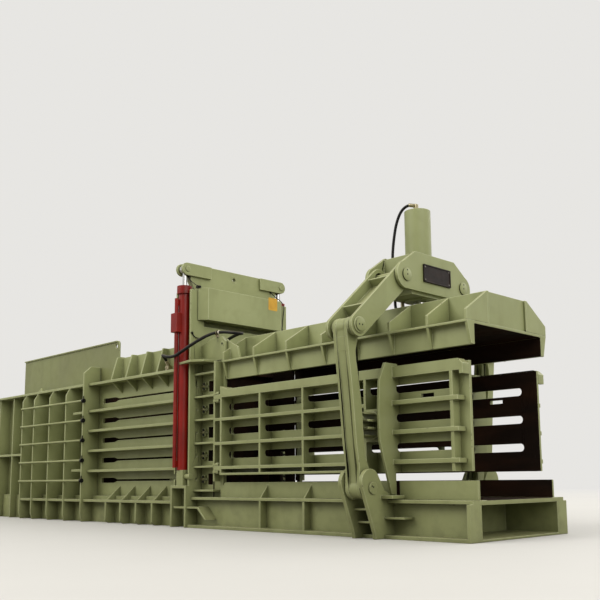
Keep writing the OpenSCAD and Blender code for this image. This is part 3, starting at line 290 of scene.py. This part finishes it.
# Each finish: the maker of its material, the material's name, and the maker's values
MATERIALS = {
    "green": (green_paint, "green_paint", GREEN, GREEN_PALE, GREEN_DEEP, False),
    # Lighter edge paint: wear and painted highlight
    "green_edge_wear_and_highlight": (green_paint, "green_paint_edge_wear_and_highlight", GREEN_EDGE_WEAR_AND_HIGHLIGHT, GREEN_EDGE_WEAR_AND_HIGHLIGHT, GREEN_PALE, True),
    # Darker green on the hopper: painted shade
    "hopper": (green_paint, "green_paint_hopper_shade", GREEN_HOPPER_SHADE, GREEN_DEEP, GREEN_DARK_AND_LOW_SHADE, False),
    "red": (red_paint, "red_paint", RED, RED_DEEP),
    # Lighter edge paint: wear and painted highlight
    "red_edge_wear_and_highlight": (red_paint, "red_paint_edge_wear_and_highlight", RED_EDGE_WEAR_AND_HIGHLIGHT, RED),
    "steel": (bare_steel, "bare_steel", srgb(150, 148, 142), srgb(104, 98, 90), 0.32, 0.5),
    "worn_steel": (bare_steel, "worn_steel", srgb(128, 120, 110), srgb(78, 62, 48), 0.35, 0.6, (0.3, 1, 1)),
    "chrome": (bare_steel, "polished_rod", srgb(212, 212, 210), srgb(190, 190, 188), 0.08, 0.16, (1, 1, 0.2)),
    "zinc": (bare_steel, "zinc_fitting", srgb(176, 168, 140), srgb(140, 128, 96), 0.28, 0.42),
    "rubber": (dull_coat, "black_rubber", srgb(20, 20, 20), srgb(34, 33, 32), 0.5, 420),
    # Also the painted shadow of pin joints and the painted shade of tapped holes
    "plastic": (dull_coat, "black_plastic", srgb(16, 16, 16), srgb(26, 26, 26), 0.4, 300),
    "yellow": (dull_coat, "yellow_label", srgb(214, 168, 66), srgb(200, 152, 60), 0.45, 150),
    "sign": (dull_coat, "sign_black", srgb(26, 17, 13), srgb(40, 28, 22), 0.45, 150),
    "white": (dull_coat, "white_tape", srgb(214, 208, 192), srgb(196, 188, 170), 0.5, 200),
}
materials = {finish: maker(*values) for finish, (maker, *values) in MATERIALS.items()}


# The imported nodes: eased edges and their finishes

EDGE = 0.003
FINE_EDGE = 0.0012
DISC_EDGE = 0.0006
SHARP = math.radians(35)
FLAT = math.radians(0.4)
JOIN_DISTANCE = 0.00002
FINISHES = {
    "hopper": ["feed_hopper"],
    "red": ["lift_barrels", "lift_pipes", "main_cylinder"],
    "steel": ["bulkhead_bolts"],
    "worn_steel": ["ram_platen", "ram_shoes"],
    "chrome": ["lift_rods", "main_rod", "squeeze_rod"],
    "plastic": ["wire_tube_ends"],
    "rubber": ["lift_hose", "squeeze_hose"],
}
# Eased edges take a lighter paint, partly wear and partly painted highlight
EDGE_FINISHES = {"green": "green_edge_wear_and_highlight", "hopper": "green_edge_wear_and_highlight", "red": "red_edge_wear_and_highlight"}
# Plates with round bores, whose flat sides are made into whole faces before their edges are eased
BORED = [
    "yoke_plates", "arm_near", "arm_far", "link_near", "link_far", "link_lugs", "gate_beam", "gate_lugs",
    "feed_hopper", "grid_ribs",
]


def smoothing_group():
    """Geometry nodes that join the imported facets and shade them smooth."""
    group = bpy.data.node_groups.new("join_facets", "GeometryNodeTree")
    group.interface.new_socket("Geometry", in_out="INPUT", socket_type="NodeSocketGeometry")
    group.interface.new_socket("Geometry", in_out="OUTPUT", socket_type="NodeSocketGeometry")
    start = group.nodes.new("NodeGroupInput")
    merge = group.nodes.new("GeometryNodeMergeByDistance")
    merge.inputs["Distance"].default_value = JOIN_DISTANCE
    smooth = group.nodes.new("GeometryNodeSetShadeSmooth")
    end = group.nodes.new("NodeGroupOutput")
    group.links.new(start.outputs[0], merge.inputs[0])
    group.links.new(merge.outputs[0], smooth.inputs[0])
    group.links.new(smooth.outputs[0], end.inputs[0])
    return group


def add_bevel(piece, width):
    """Bevel of every sharp edge."""
    bevel = piece.modifiers.new("ease", "BEVEL")
    bevel.width = width
    bevel.segments = 2
    bevel.limit_method = "ANGLE"
    bevel.angle_limit = SHARP
    return bevel


def ease_edges(piece, width, group, edge_slot, bored):
    """Modifiers that join the facets, ease the edges in their own lighter material, which is wear and painted
    highlight, and keep flat faces flat.
    """
    piece.modifiers.new("join", "NODES").node_group = group
    if bored:
        flat = piece.modifiers.new("flat", "DECIMATE")
        flat.decimate_type = "DISSOLVE"
        flat.angle_limit = FLAT
    bevel = add_bevel(piece, width)
    bevel.use_clamp_overlap = False
    bevel.material = edge_slot
    piece.modifiers.new("normals", "WEIGHTED_NORMAL").weight = 90


def dress_frame():
    """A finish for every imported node, and eased edges for all but the hoses."""
    group = smoothing_group()
    finish_of = {name: finish for finish, names in FINISHES.items() for name in names}
    for name, piece in nodes.items():
        finish = finish_of.get(name, "green")
        piece.data.materials.clear()
        piece.data.materials.append(materials[finish])
        edge = EDGE_FINISHES.get(finish)
        if edge:
            piece.data.materials.append(materials[edge])
        if finish != "rubber":
            width = EDGE if edge == "green_edge_wear_and_highlight" else EDGE / 3
            ease_edges(piece, width, group, 1 if edge else -1, name in BORED)


# Small parts of the scene, each built in its own mesh and riding on a body

GATE_X = (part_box("gate_plate")[0].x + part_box("gate_plate")[1].x) / 2
LINK_X = (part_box("squeeze_barrel")[0].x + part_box("squeeze_barrel")[1].x) / 2
SQUEEZE_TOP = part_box("squeeze_barrel")[1].z
YOKE_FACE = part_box("yoke_plates")[1].x
BEAM_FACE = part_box("gate_beam")[1].x


def add_piece(name, shape, body, finish, edge=0.0):
    """Turns a bmesh into a piece that rides on a body; edge is the width of its bevels."""
    mesh = bpy.data.meshes.new(name)
    bmesh.ops.recalc_face_normals(shape, faces=shape.faces)
    shape.to_mesh(mesh)
    shape.free()
    mesh.materials.append(materials[finish])
    piece = bpy.data.objects.new(name, mesh)
    scene.collection.objects.link(piece)
    for face in mesh.polygons:
        face.use_smooth = True
    mesh.set_sharp_from_angle(angle=SHARP)
    if edge:
        add_bevel(piece, edge)
    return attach(piece, body)


def along(axis, place):
    """Matrix whose Z axis lies along axis at place."""
    return Matrix.Translation(place) @ Vector(axis).to_track_quat("Z", "Y").to_matrix().to_4x4()


# Turns a piece that faces up so that it faces along X or against it, with its own Y upright
FACING_X = {
    1: Matrix(((0, 0, 1), (1, 0, 0), (0, 1, 0))).to_4x4(),
    -1: Matrix(((0, 0, -1), (-1, 0, 0), (0, 1, 0))).to_4x4(),
}


def add_circle(shape, place, side, other, radius, sides):
    """Circle of vertices about place, in the plane of side and other."""
    circle = []
    for k in range(sides):
        a = 2 * math.pi * k / sides
        circle.append(shape.verts.new(place + radius * (math.cos(a) * side + math.sin(a) * other)))
    return circle


def add_circles(shape, profile, matrix, sides):
    """Circles about matrix's Z axis; profile is (radius, height) of each."""
    side, other = matrix.to_3x3() @ Vector((1, 0, 0)), matrix.to_3x3() @ Vector((0, 1, 0))
    circles = []
    for radius, height in profile:
        circles.append(add_circle(shape, matrix @ Vector((0, 0, height)), side, other, radius, sides))
    return circles


def add_walls(shape, loops):
    """Faces between each loop of vertices and the next."""
    for low, high in zip(loops, loops[1:]):
        for k in range(len(low)):
            shape.faces.new((low[k - 1], low[k], high[k], high[k - 1]))


def add_closed(shape, loops):
    """Faces between the loops of vertices, and one at each end."""
    add_walls(shape, loops)
    shape.faces.new(loops[0][::-1])
    shape.faces.new(loops[-1])


def add_lathe(shape, profile, matrix, sides):
    """Solid of revolution about matrix's Z axis; profile is (radius, height) from the foot up."""
    add_closed(shape, add_circles(shape, profile, matrix, sides))


def add_ring(shape, section, matrix, sides):
    """Ring about matrix's Z axis; section is its corners as (radius, height) in order."""
    circles = add_circles(shape, section, matrix, sides)
    add_walls(shape, circles + circles[:1])


CORNER_POINTS = 5


def add_slab(shape, matrix, size, corner):
    """Plate with rounded corners: size is (x, y, thickness), standing on matrix's XY plane."""
    sx, sy, depth = size
    outline = []
    for cx, cy, start in ((1, 1, 0), (-1, 1, 90), (-1, -1, 180), (1, -1, 270)):
        for k in range(CORNER_POINTS):
            a = math.radians(start + 90 * k / (CORNER_POINTS - 1))
            x = cx * (sx / 2 - corner) + corner * math.cos(a)
            y = cy * (sy / 2 - corner) + corner * math.sin(a)
            outline.append((x, y))
    low = [shape.verts.new(matrix @ Vector((x, y, 0))) for x, y in outline]
    high = [shape.verts.new(matrix @ Vector((x, y, depth))) for x, y in outline]
    add_closed(shape, [low, high])


def add_hole_shade(dark, matrix, radius, sides):
    """Tapped hole as a black disc of painted shade, a hair proud of the face that it is in."""
    add_lathe(dark, [(radius, -0.002), (radius, 0.0006)], matrix, sides)


def add_bolt(shape, matrix, size):
    """Washer and chamfered hexagon head of a screw of this diameter."""
    foot, top = 0.16 * size, 0.8 * size
    add_lathe(shape, [(1.05 * size, 0), (1.05 * size, foot)], matrix, 20)
    add_lathe(shape, [(0.92 * size, foot), (0.92 * size, top - 0.1 * size), (0.8 * size, top)], matrix, 6)


# Hoses along the same routes as the source's, and their fittings

def gate_point(x, y, z):
    """Point in millimetres, given from the gate's middle along X."""
    return Vector((GATE_X + x / 1000, y / 1000, z / 1000))


def link_point(x, y, z):
    """Point in millimetres, given from the squeeze cylinder's axis and from its top."""
    return Vector((LINK_X + x / 1000, y / 1000, SQUEEZE_TOP + z / 1000))


LIFT_HOSE_R = 0.014
LIFT_HOSE = [gate_point(*p) for p in (
    (-320, -500, 1440), (-300, -540, 1480), (-255, -600, 1505), (-190, -650, 1500), (-100, -662, 1478),
    (13, -667, 1474), (123, -662, 1506), (200, -640, 1545), (262, -595, 1590), (306, -535, 1632),
    (325, -480, 1656), (350, -452, 1662), (440, -446, 1654), (520, -430, 1640), (562, -390, 1632),
    (540, -345, 1640), (440, -310, 1650), (300, -275, 1640), (180, -252, 1616), (122, -245, 1600))]
SQUEEZE_HOSE_R = 0.011
SQUEEZE_HOSE = [link_point(*p) for p in (
    (-8, -24, 46), (-30, -50, 48), (-52, -66, 40), (-80, -78, 18), (-110, -83, -22), (-140, -85, -91),
    (-162, -85, -180), (-178, -83, -270), (-186, -80, -349), (-188, -72, -482), (-188, -62, -638),
    (-188, -58, -708), (-180, -58, -736), (-162, -60, -752), (-140, -62, -752), (-120, -64, -736),
    (-112, -66, -710), (-112, -66, -694))]
STEPS_BETWEEN = 5


def smooth_path(points):
    """Curve through the points, with STEPS_BETWEEN steps from each to the next."""
    made = []
    ends = [2 * points[0] - points[1], *points, 2 * points[-1] - points[-2]]
    for a, b, c, d in zip(ends, ends[1:], ends[2:], ends[3:]):
        for k in range(STEPS_BETWEEN):
            t = k / STEPS_BETWEEN
            slope = (c - a) * t
            bend = (2 * a - 5 * b + 4 * c - d) * t**2
            twist = (3 * b - a - 3 * c + d) * t**3
            made.append(0.5 * (2 * b + slope + bend + twist))
    return [*made, points[-1]]


def add_tube(shape, points, radius, sides=16):
    """Round tube along points, closed at both ends."""
    circles = []
    side = (points[1] - points[0]).orthogonal().normalized()
    for k, place in enumerate(points):
        ahead = (points[min(k + 1, len(points) - 1)] - points[max(k - 1, 0)]).normalized()
        side = (side - ahead * side.dot(ahead)).normalized()
        circles.append(add_circle(shape, place, side, ahead.cross(side), radius, sides))
    add_closed(shape, circles)


def add_hose_end(shape, place, out_of, radius):
    """Crimped ferrule and swivel nut on a hose that leaves place in the direction out_of."""
    r = radius
    matrix = along(out_of, place)
    add_lathe(shape, [(1.35 * r, 0), (1.35 * r, 0.9 * r)], matrix, 6)
    ferrule = [(1.1 * r, 0.9 * r), (1.3 * r, 1.1 * r)]
    for crimp in (1.5, 2.05, 2.6, 3.15):
        ferrule += [(1.3 * r, crimp * r), (1.16 * r, (crimp + 0.12) * r), (1.3 * r, (crimp + 0.24) * r)]
    ferrule += [(1.3 * r, 3.9 * r), (1.08 * r, 4.1 * r)]
    add_lathe(shape, ferrule, matrix, 20)


def make_hoses():
    """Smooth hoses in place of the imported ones, with a fitting at each end."""
    for name, points, radius, body in (
        ("lift_hose_cover", LIFT_HOSE, LIFT_HOSE_R, "frame"),
        ("squeeze_hose_cover", SQUEEZE_HOSE, SQUEEZE_HOSE_R, "yoke"),
    ):
        shape = bmesh.new()
        path = smooth_path(points)
        add_tube(shape, path, radius)
        hose = add_piece(name, shape, body, "rubber")
        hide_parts(name.replace("_cover", ""))
        ends = bmesh.new()
        add_hose_end(ends, path[0], path[1] - path[0], radius)
        add_hose_end(ends, path[-1], path[-2] - path[-1], radius)
        add_piece(name.replace("cover", "ends"), ends, body, "zinc")


# Tape and band on the lift hose: name, step of its path, radius, length, finish and slot
HOSE_WRAPS = [
    ("lift_hose_tape", 53, 0.0185, 0.026, "plastic", "black_plastic"),
    ("lift_hose_band", 55, 0.0172, 0.012, "white", "green_paint"),
]


def make_hose_ports():
    """Blocks that the hoses screw into, and the clip, tape and band on the lift hose."""
    shape = bmesh.new()
    clip_foot, clip_band = gate_point(336, -449, 1622), gate_point(336, -458, 1657)
    add_slab(shape, Matrix.Translation(clip_foot), (0.028, 0.022, 0.018), 0.003)
    add_lathe(shape, [(0.02, -0.008), (0.02, 0.008)], along((1, 0, -0.1), clip_band), 20)
    base = gate_point(-320, -495, 1385)
    add_slab(shape, Matrix.Translation(base), (0.05, 0.05, 0.05), 0.006)
    for across, up in ((-0.012, 0.03), (0.012, 0.015)):
        add_bolt(shape, along((0, -1, 0), base + Vector((across, -0.025, up))), 0.008)
    add_slab(shape, along((1, 0, 0), gate_point(110, -245, 1600)), (0.05, 0.05, 0.014), 0.006)
    add_piece("lift_hose_ports", shape, "frame", "zinc", edge=FINE_EDGE)
    path = smooth_path(LIFT_HOSE)
    for name, k, radius, length, finish, slot in HOSE_WRAPS:
        shape = bmesh.new()
        rim = [(radius - 0.002, 0), (radius, 0.002), (radius, length - 0.002), (radius - 0.002, length)]
        add_lathe(shape, rim, along(path[k + 1] - path[k - 1], path[k]), 24)
        add_piece(name, shape, "frame", finish)
    shape = bmesh.new()
    top = link_point(-2, -10, 0)
    add_lathe(shape, [(0.018, 0), (0.018, 0.012)], Matrix.Translation(top), 6)
    add_slab(shape, Matrix.Translation(top + Vector((0, -0.001, 0.012))), (0.024, 0.034, 0.046), 0.004)
    add_lathe(shape, [(0.026, 0), (0.026, 0.004)], Matrix.Translation(top), 24)
    add_piece("squeeze_hose_port", shape, "yoke", "zinc", edge=FINE_EDGE)


# Pin ends: a black ring of painted shadow round each end disc, and black discs of painted shade for the tapped
# holes in it

YOKE_PIN = Vector((LINK_X, 0.340, 1.828))
ARM_PIN = Vector((LINK_X, 0.815, 1.410))
LINK_PIN = Vector((LINK_X, 0.700, 0.334))
TAPPED_HOLE_R = 0.0058
HINGE_HOLE_R = 0.0095
# Steps of a pin's end as (radius, foot, depth), and its holes as (across, up)
ARM_PIN_STEPS = [(0.0536, 0, 0.0105), (0.044, 0.0105, 0.007)]
ARM_PIN_HOLES = [(-0.014, 0), (0.016, 0)]
# Each set of pins: name, body, pin, the sides that it is on, end's distance from the middle, steps, holes
PIN_ENDS = [
    ("yoke", "yoke", YOKE_PIN, (-1, 1), 0.153, [(0.046, 0, 0.011)], [(0, 0), (0.002, 0.031)]),
    ("lug", "frame", LINK_PIN, (-1, 1), 0.120, [], [(0, 0.006), (0.014, 0.012)]),
    ("link_near", "link_near", ARM_PIN, (-1,), 0.121, ARM_PIN_STEPS, ARM_PIN_HOLES),
    ("link_far", "link_far", ARM_PIN, (1,), 0.121, ARM_PIN_STEPS, ARM_PIN_HOLES),
]


def add_pin_disc(paint, dark, matrix, radius, depth):
    """End disc whose lower side is a black ring: painted shadow along its joint."""
    seam, rim = 0.6 * depth, radius + 0.0006
    # Black ring: painted shadow of the joint
    add_lathe(dark, [(radius, 0), (radius, seam)], matrix, 40)
    add_lathe(paint, [(rim, seam), (rim, 0.9 * depth), (radius - 0.001, depth)], matrix, 40)


def make_pin_ends():
    """Discs of the linkage's pins, with black rings of painted shadow round them and black discs of painted
    shade for their tapped holes.
    """
    for name, body, pin, sides, reach, steps, holes in PIN_ENDS:
        paint, dark = bmesh.new(), bmesh.new()
        top = sum(depth for radius, foot, depth in steps)
        for side in sides:
            for end in (-1, 1):
                face = Matrix.Translation((LINK_X + end * reach, side * pin.y, pin.z)) @ FACING_X[end]
                for radius, foot, depth in steps:
                    add_pin_disc(paint, dark, face @ Matrix.Translation((0, 0, foot)), radius, depth)
                for across, up in holes:
                    hole = face @ Matrix.Translation((end * side * across, up, top))
                    # Black disc: painted shade of a tapped hole
                    add_hole_shade(dark, hole, TAPPED_HOLE_R, 16)
        if steps:
            add_piece(name + "_pin_discs", paint, body, "green", edge=DISC_EDGE)
        else:
            paint.free()
        add_piece(name + "_pin_joint_shadows", dark, body, "plastic")


def make_hinge_hole_shades():
    """Black disc of painted shade for the tapped hole in the outer end of each of the roof's hinge pins."""
    shape = bmesh.new()
    low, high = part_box("roof_hinge_pins")
    for side in (-1, 1):
        place = Vector(((low.x + high.x) / 2, side * high.y, (low.z + high.z) / 2))
        # Black disc: painted shade of the hole
        add_hole_shade(shape, along((0, side, 0), place), HINGE_HOLE_R, 20)
    add_piece("roof_pin_hole_shades", shape, "frame", "plastic")


# Nuts of the wire clamps, thin cables and the bush of the lifting hole

WIRES = 5
WIRE_PITCH = 0.2
FIRST_WIRE_Z = 0.405
# Places on a wire clamp: its middle from its low end along X, and its nuts and bar from that middle
CLAMP_MIDDLE = 0.040
CLAMP_NUT_RISE = 0.021
CLAMP_NUT_SIZE = 0.011
CLAMP_BAR = [(0.004, 0), (0.005, 0.002), (0.005, 0.044), (0.004, 0.046)]
CLAMP_BAR_BACK, CLAMP_BAR_OUT = 0.034, 0.003


def make_clamp_nuts():
    """Two nuts and a bar on each wire clamp."""
    shape, bars = bmesh.new(), bmesh.new()
    low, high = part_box("wire_clamps")
    for side in (-1, 1):
        for k in range(WIRES):
            middle = Vector((low.x + CLAMP_MIDDLE, side * high.y, FIRST_WIRE_Z + k * WIRE_PITCH))
            for up in (-CLAMP_NUT_RISE, CLAMP_NUT_RISE):
                add_bolt(shape, along((0, side, 0), middle + Vector((0, 0, up))), CLAMP_NUT_SIZE)
            bar = along((1, 0, 0), middle + Vector((-CLAMP_BAR_BACK, side * CLAMP_BAR_OUT, 0)))
            add_lathe(bars, CLAMP_BAR, bar, 16)
    add_piece("clamp_nuts", shape, "frame", "plastic")
    add_piece("clamp_bars", bars, "frame", "zinc")


CABLE_R = 0.0042
CONNECTOR = [(0.009, -0.004), (0.009, 0.01), (0.006, 0.018)]
SENSOR_CABLES = {
    "gate": [
        [(-2, -522, 2214), (8, -524, 2198), (26, -522, 2174), (62, -520, 2146), (100, -518, 2120),
         (140, -512, 2098)],
        [(30, 440, 2208), (70, 448, 2165), (100, 470, 2134), (118, 498, 2108), (128, 516, 2076),
         (132, 522, 2040), (128, 514, 1960), (124, 508, 1880), (118, 506, 1826)],
    ],
    "frame": [
        [(116, -562, 1682), (117, -541, 1652), (120, -508, 1637), (130, -470, 1636), (160, -462, 1640)],
    ],
}


def make_cables():
    """Thin sensor cables with their connectors, and the switch box on the gate."""
    for body, routes in SENSOR_CABLES.items():
        shape, ends = bmesh.new(), bmesh.new()
        for route in routes:
            path = smooth_path([gate_point(*p) for p in route])
            add_tube(shape, path, CABLE_R, 10)
            for place, toward in ((path[0], path[1]), (path[-1], path[-2])):
                add_lathe(ends, CONNECTOR, along(toward - place, place), 6)
        if body == "gate":
            add_slab(ends, Matrix.Translation(gate_point(112, -492, 2090)), (0.05, 0.026, 0.018), 0.004)
            for x in (96, 128):
                add_bolt(ends, Matrix.Translation(gate_point(x, -492, 2108)), 0.005)
        add_piece(body + "_sensor_cables", shape, body, "rubber")
        add_piece(body + "_sensor_ends", ends, body, "plastic")


LIFTING_HOLE = gate_point(22, -14, 2256)
BUSH_SECTION = [(0.0175, -0.012), (0.0308, -0.012), (0.0308, 0), (0.0195, 0), (0.0175, -0.002)]


def make_lifting_bush():
    """Bush in the lifting hole of the gate beam."""
    shape = bmesh.new()
    add_ring(shape, BUSH_SECTION, along((1, 0, 0), LIFTING_HOLE), 40)
    add_piece("lifting_hole_bush", shape, "gate", "green")


# Bare plates on the yoke and on the gate beam

SIGN_PLACE = Vector((YOKE_FACE, 0.012, 1.872))
SIGN_WIDTH, SIGN_HEIGHT, SIGN_DEPTH = 0.325, 0.132, 0.008
RIM_WIDTH, RIM_DEPTH = 0.009, 0.004
RIVET = [(0.006, 0), (0.006, 0.001), (0.003, 0.0035)]
RIVET_ACROSS, RIVET_UP = 0.142, 0.048
LABEL_PLACE = Vector((BEAM_FACE, 0.33, 2.048))
LABEL_SIZE = (0.112, 0.122, 0.0008)


def make_signs():
    """Black plate with a raised rim and four rivets on the yoke, and a yellow plate on the gate beam."""
    shape, rivets = bmesh.new(), bmesh.new()
    face = Matrix.Translation(SIGN_PLACE) @ FACING_X[1]
    add_slab(shape, face, (SIGN_WIDTH, SIGN_HEIGHT, SIGN_DEPTH), 0.008)
    front = face @ Matrix.Translation((0, 0, SIGN_DEPTH))
    for side in (-1, 1):
        level = front @ Matrix.Translation((0, side * (SIGN_HEIGHT - RIM_WIDTH) / 2, 0))
        upright = front @ Matrix.Translation((side * (SIGN_WIDTH - RIM_WIDTH) / 2, 0, 0))
        add_slab(shape, level, (SIGN_WIDTH, RIM_WIDTH, RIM_DEPTH), 0.003)
        add_slab(shape, upright, (RIM_WIDTH, SIGN_HEIGHT, RIM_DEPTH), 0.003)
    add_piece("yoke_sign_plate", shape, "yoke", "sign", edge=FINE_EDGE)
    for x in (-RIVET_ACROSS, RIVET_ACROSS):
        for y in (-RIVET_UP, RIVET_UP):
            add_lathe(rivets, RIVET, front @ Matrix.Translation((x, y, 0)), 12)
    add_piece("yoke_sign_rivets", rivets, "yoke", "steel")
    shape = bmesh.new()
    add_slab(shape, Matrix.Translation(LABEL_PLACE) @ FACING_X[1], LABEL_SIZE, 0.012)
    add_piece("beam_label", shape, "gate", "yellow")


# Floor and light

PALE = (0.80, 0.79, 0.765, 1)
FLOOR_RADIUS = 60
FLOOR_SEEN = [(0.57, 0.57, 0.56, 1), (0.61, 0.61, 0.6, 1)]
FLOOR_UNSEEN = (0.17, 0.155, 0.13, 1)
FADE_FROM, FADE_TO = 7, 22
SKY = (1.0, 0.96, 0.88, 1)
# Each lamp: name, the way that its light travels, strength, angle across in degrees, and colour
LAMPS = [
    ("key", (0.5, 1.0, -0.75), 1.4, 35, (1.0, 0.97, 0.91)),
    ("end", (-1.0, 0.2, -0.6), 1.25, 50, (1.0, 0.97, 0.93)),
    ("back", (-0.2, -1.0, -0.8), 0.9, 50, (1.0, 0.97, 0.93)),
]


def make_floor():
    """Pale floor that fades into the same pale background."""
    mesh = bpy.data.meshes.new("floor")
    shape = bmesh.new()
    bmesh.ops.create_circle(shape, cap_ends=True, segments=96, radius=FLOOR_RADIUS)
    shape.to_mesh(mesh)
    shape.free()
    floor = bpy.data.objects.new("floor", mesh)
    floor.location.z = -0.001
    scene.collection.objects.link(floor)
    shader = Shader("floor")
    away = shader.add("ShaderNodeVectorMath", {0: shader.place}, operation="LENGTH").outputs["Value"]
    seen = shader.add("ShaderNodeLightPath").outputs["Is Camera Ray"]
    pale = shader.mix(shader.noise(0.8, 4), *FLOOR_SEEN)
    shader.set(Base_Color=shader.mix(seen, FLOOR_UNSEEN, pale), Roughness=0.7)
    fade = shader.math("MULTIPLY", shader.ramp(away, FADE_FROM, FADE_TO), seen)
    glow = shader.add("ShaderNodeEmission", {"Color": PALE, "Strength": 1.0}).outputs[0]
    blend = shader.add("ShaderNodeMixShader", {0: fade, 1: shader.surface.outputs[0], 2: glow})
    shader.tree.links.new(blend.outputs[0], shader.tree.nodes["Material Output"].inputs["Surface"])
    mesh.materials.append(shader.material)


def make_world():
    """Soft sky, brighter above; a plain pale background for the camera and for reflections."""
    world = bpy.data.worlds.new("studio")
    scene.world = world
    world.use_nodes = True
    tree = world.node_tree
    tree.nodes.clear()
    coords = tree.nodes.new("ShaderNodeTexCoord")
    split = tree.nodes.new("ShaderNodeSeparateXYZ")
    tree.links.new(coords.outputs["Generated"], split.inputs[0])
    high = tree.nodes.new("ShaderNodeMapRange")
    for limit, value in (("From Min", -0.1), ("From Max", 0.95), ("To Min", 0.4), ("To Max", 1.0)):
        high.inputs[limit].default_value = value
    tree.links.new(split.outputs["Z"], high.inputs["Value"])
    sky = tree.nodes.new("ShaderNodeBackground")
    sky.inputs["Color"].default_value = SKY
    tree.links.new(high.outputs[0], sky.inputs["Strength"])
    plain = tree.nodes.new("ShaderNodeBackground")
    plain.inputs["Color"].default_value = PALE
    path = tree.nodes.new("ShaderNodeLightPath")
    seen = path.outputs["Is Camera Ray"]
    for ray in ("Is Glossy Ray", "Is Transmission Ray"):
        either = tree.nodes.new("ShaderNodeMath")
        either.operation = "MAXIMUM"
        tree.links.new(seen, either.inputs[0])
        tree.links.new(path.outputs[ray], either.inputs[1])
        seen = either.outputs[0]
    blend = tree.nodes.new("ShaderNodeMixShader")
    tree.links.new(seen, blend.inputs[0])
    tree.links.new(sky.outputs[0], blend.inputs[1])
    tree.links.new(plain.outputs[0], blend.inputs[2])
    end = tree.nodes.new("ShaderNodeOutputWorld")
    tree.links.new(blend.outputs[0], end.inputs[0])


def make_lamp(name, toward, energy, angle, colour):
    """Distant soft lamp; toward is the direction that its light travels."""
    data = bpy.data.lights.new(name, "SUN")
    data.energy = energy
    data.angle = math.radians(angle)
    data.color = colour
    lamp = bpy.data.objects.new(name, data)
    lamp.rotation_euler = Vector(toward).to_track_quat("-Z", "Y").to_euler()
    scene.collection.objects.link(lamp)


def make_light():
    """Sky, and soft lamps on the near side, the outlet end and the far side."""
    make_world()
    for lamp in LAMPS:
        make_lamp(*lamp)


make_camera()
dress_frame()
make_hoses()
make_hose_ports()
make_pin_ends()
make_clamp_nuts()
make_hinge_hole_shades()
make_cables()
make_lifting_bush()
make_signs()
make_floor()
make_light()
scene.view_settings.view_transform = "Standard"
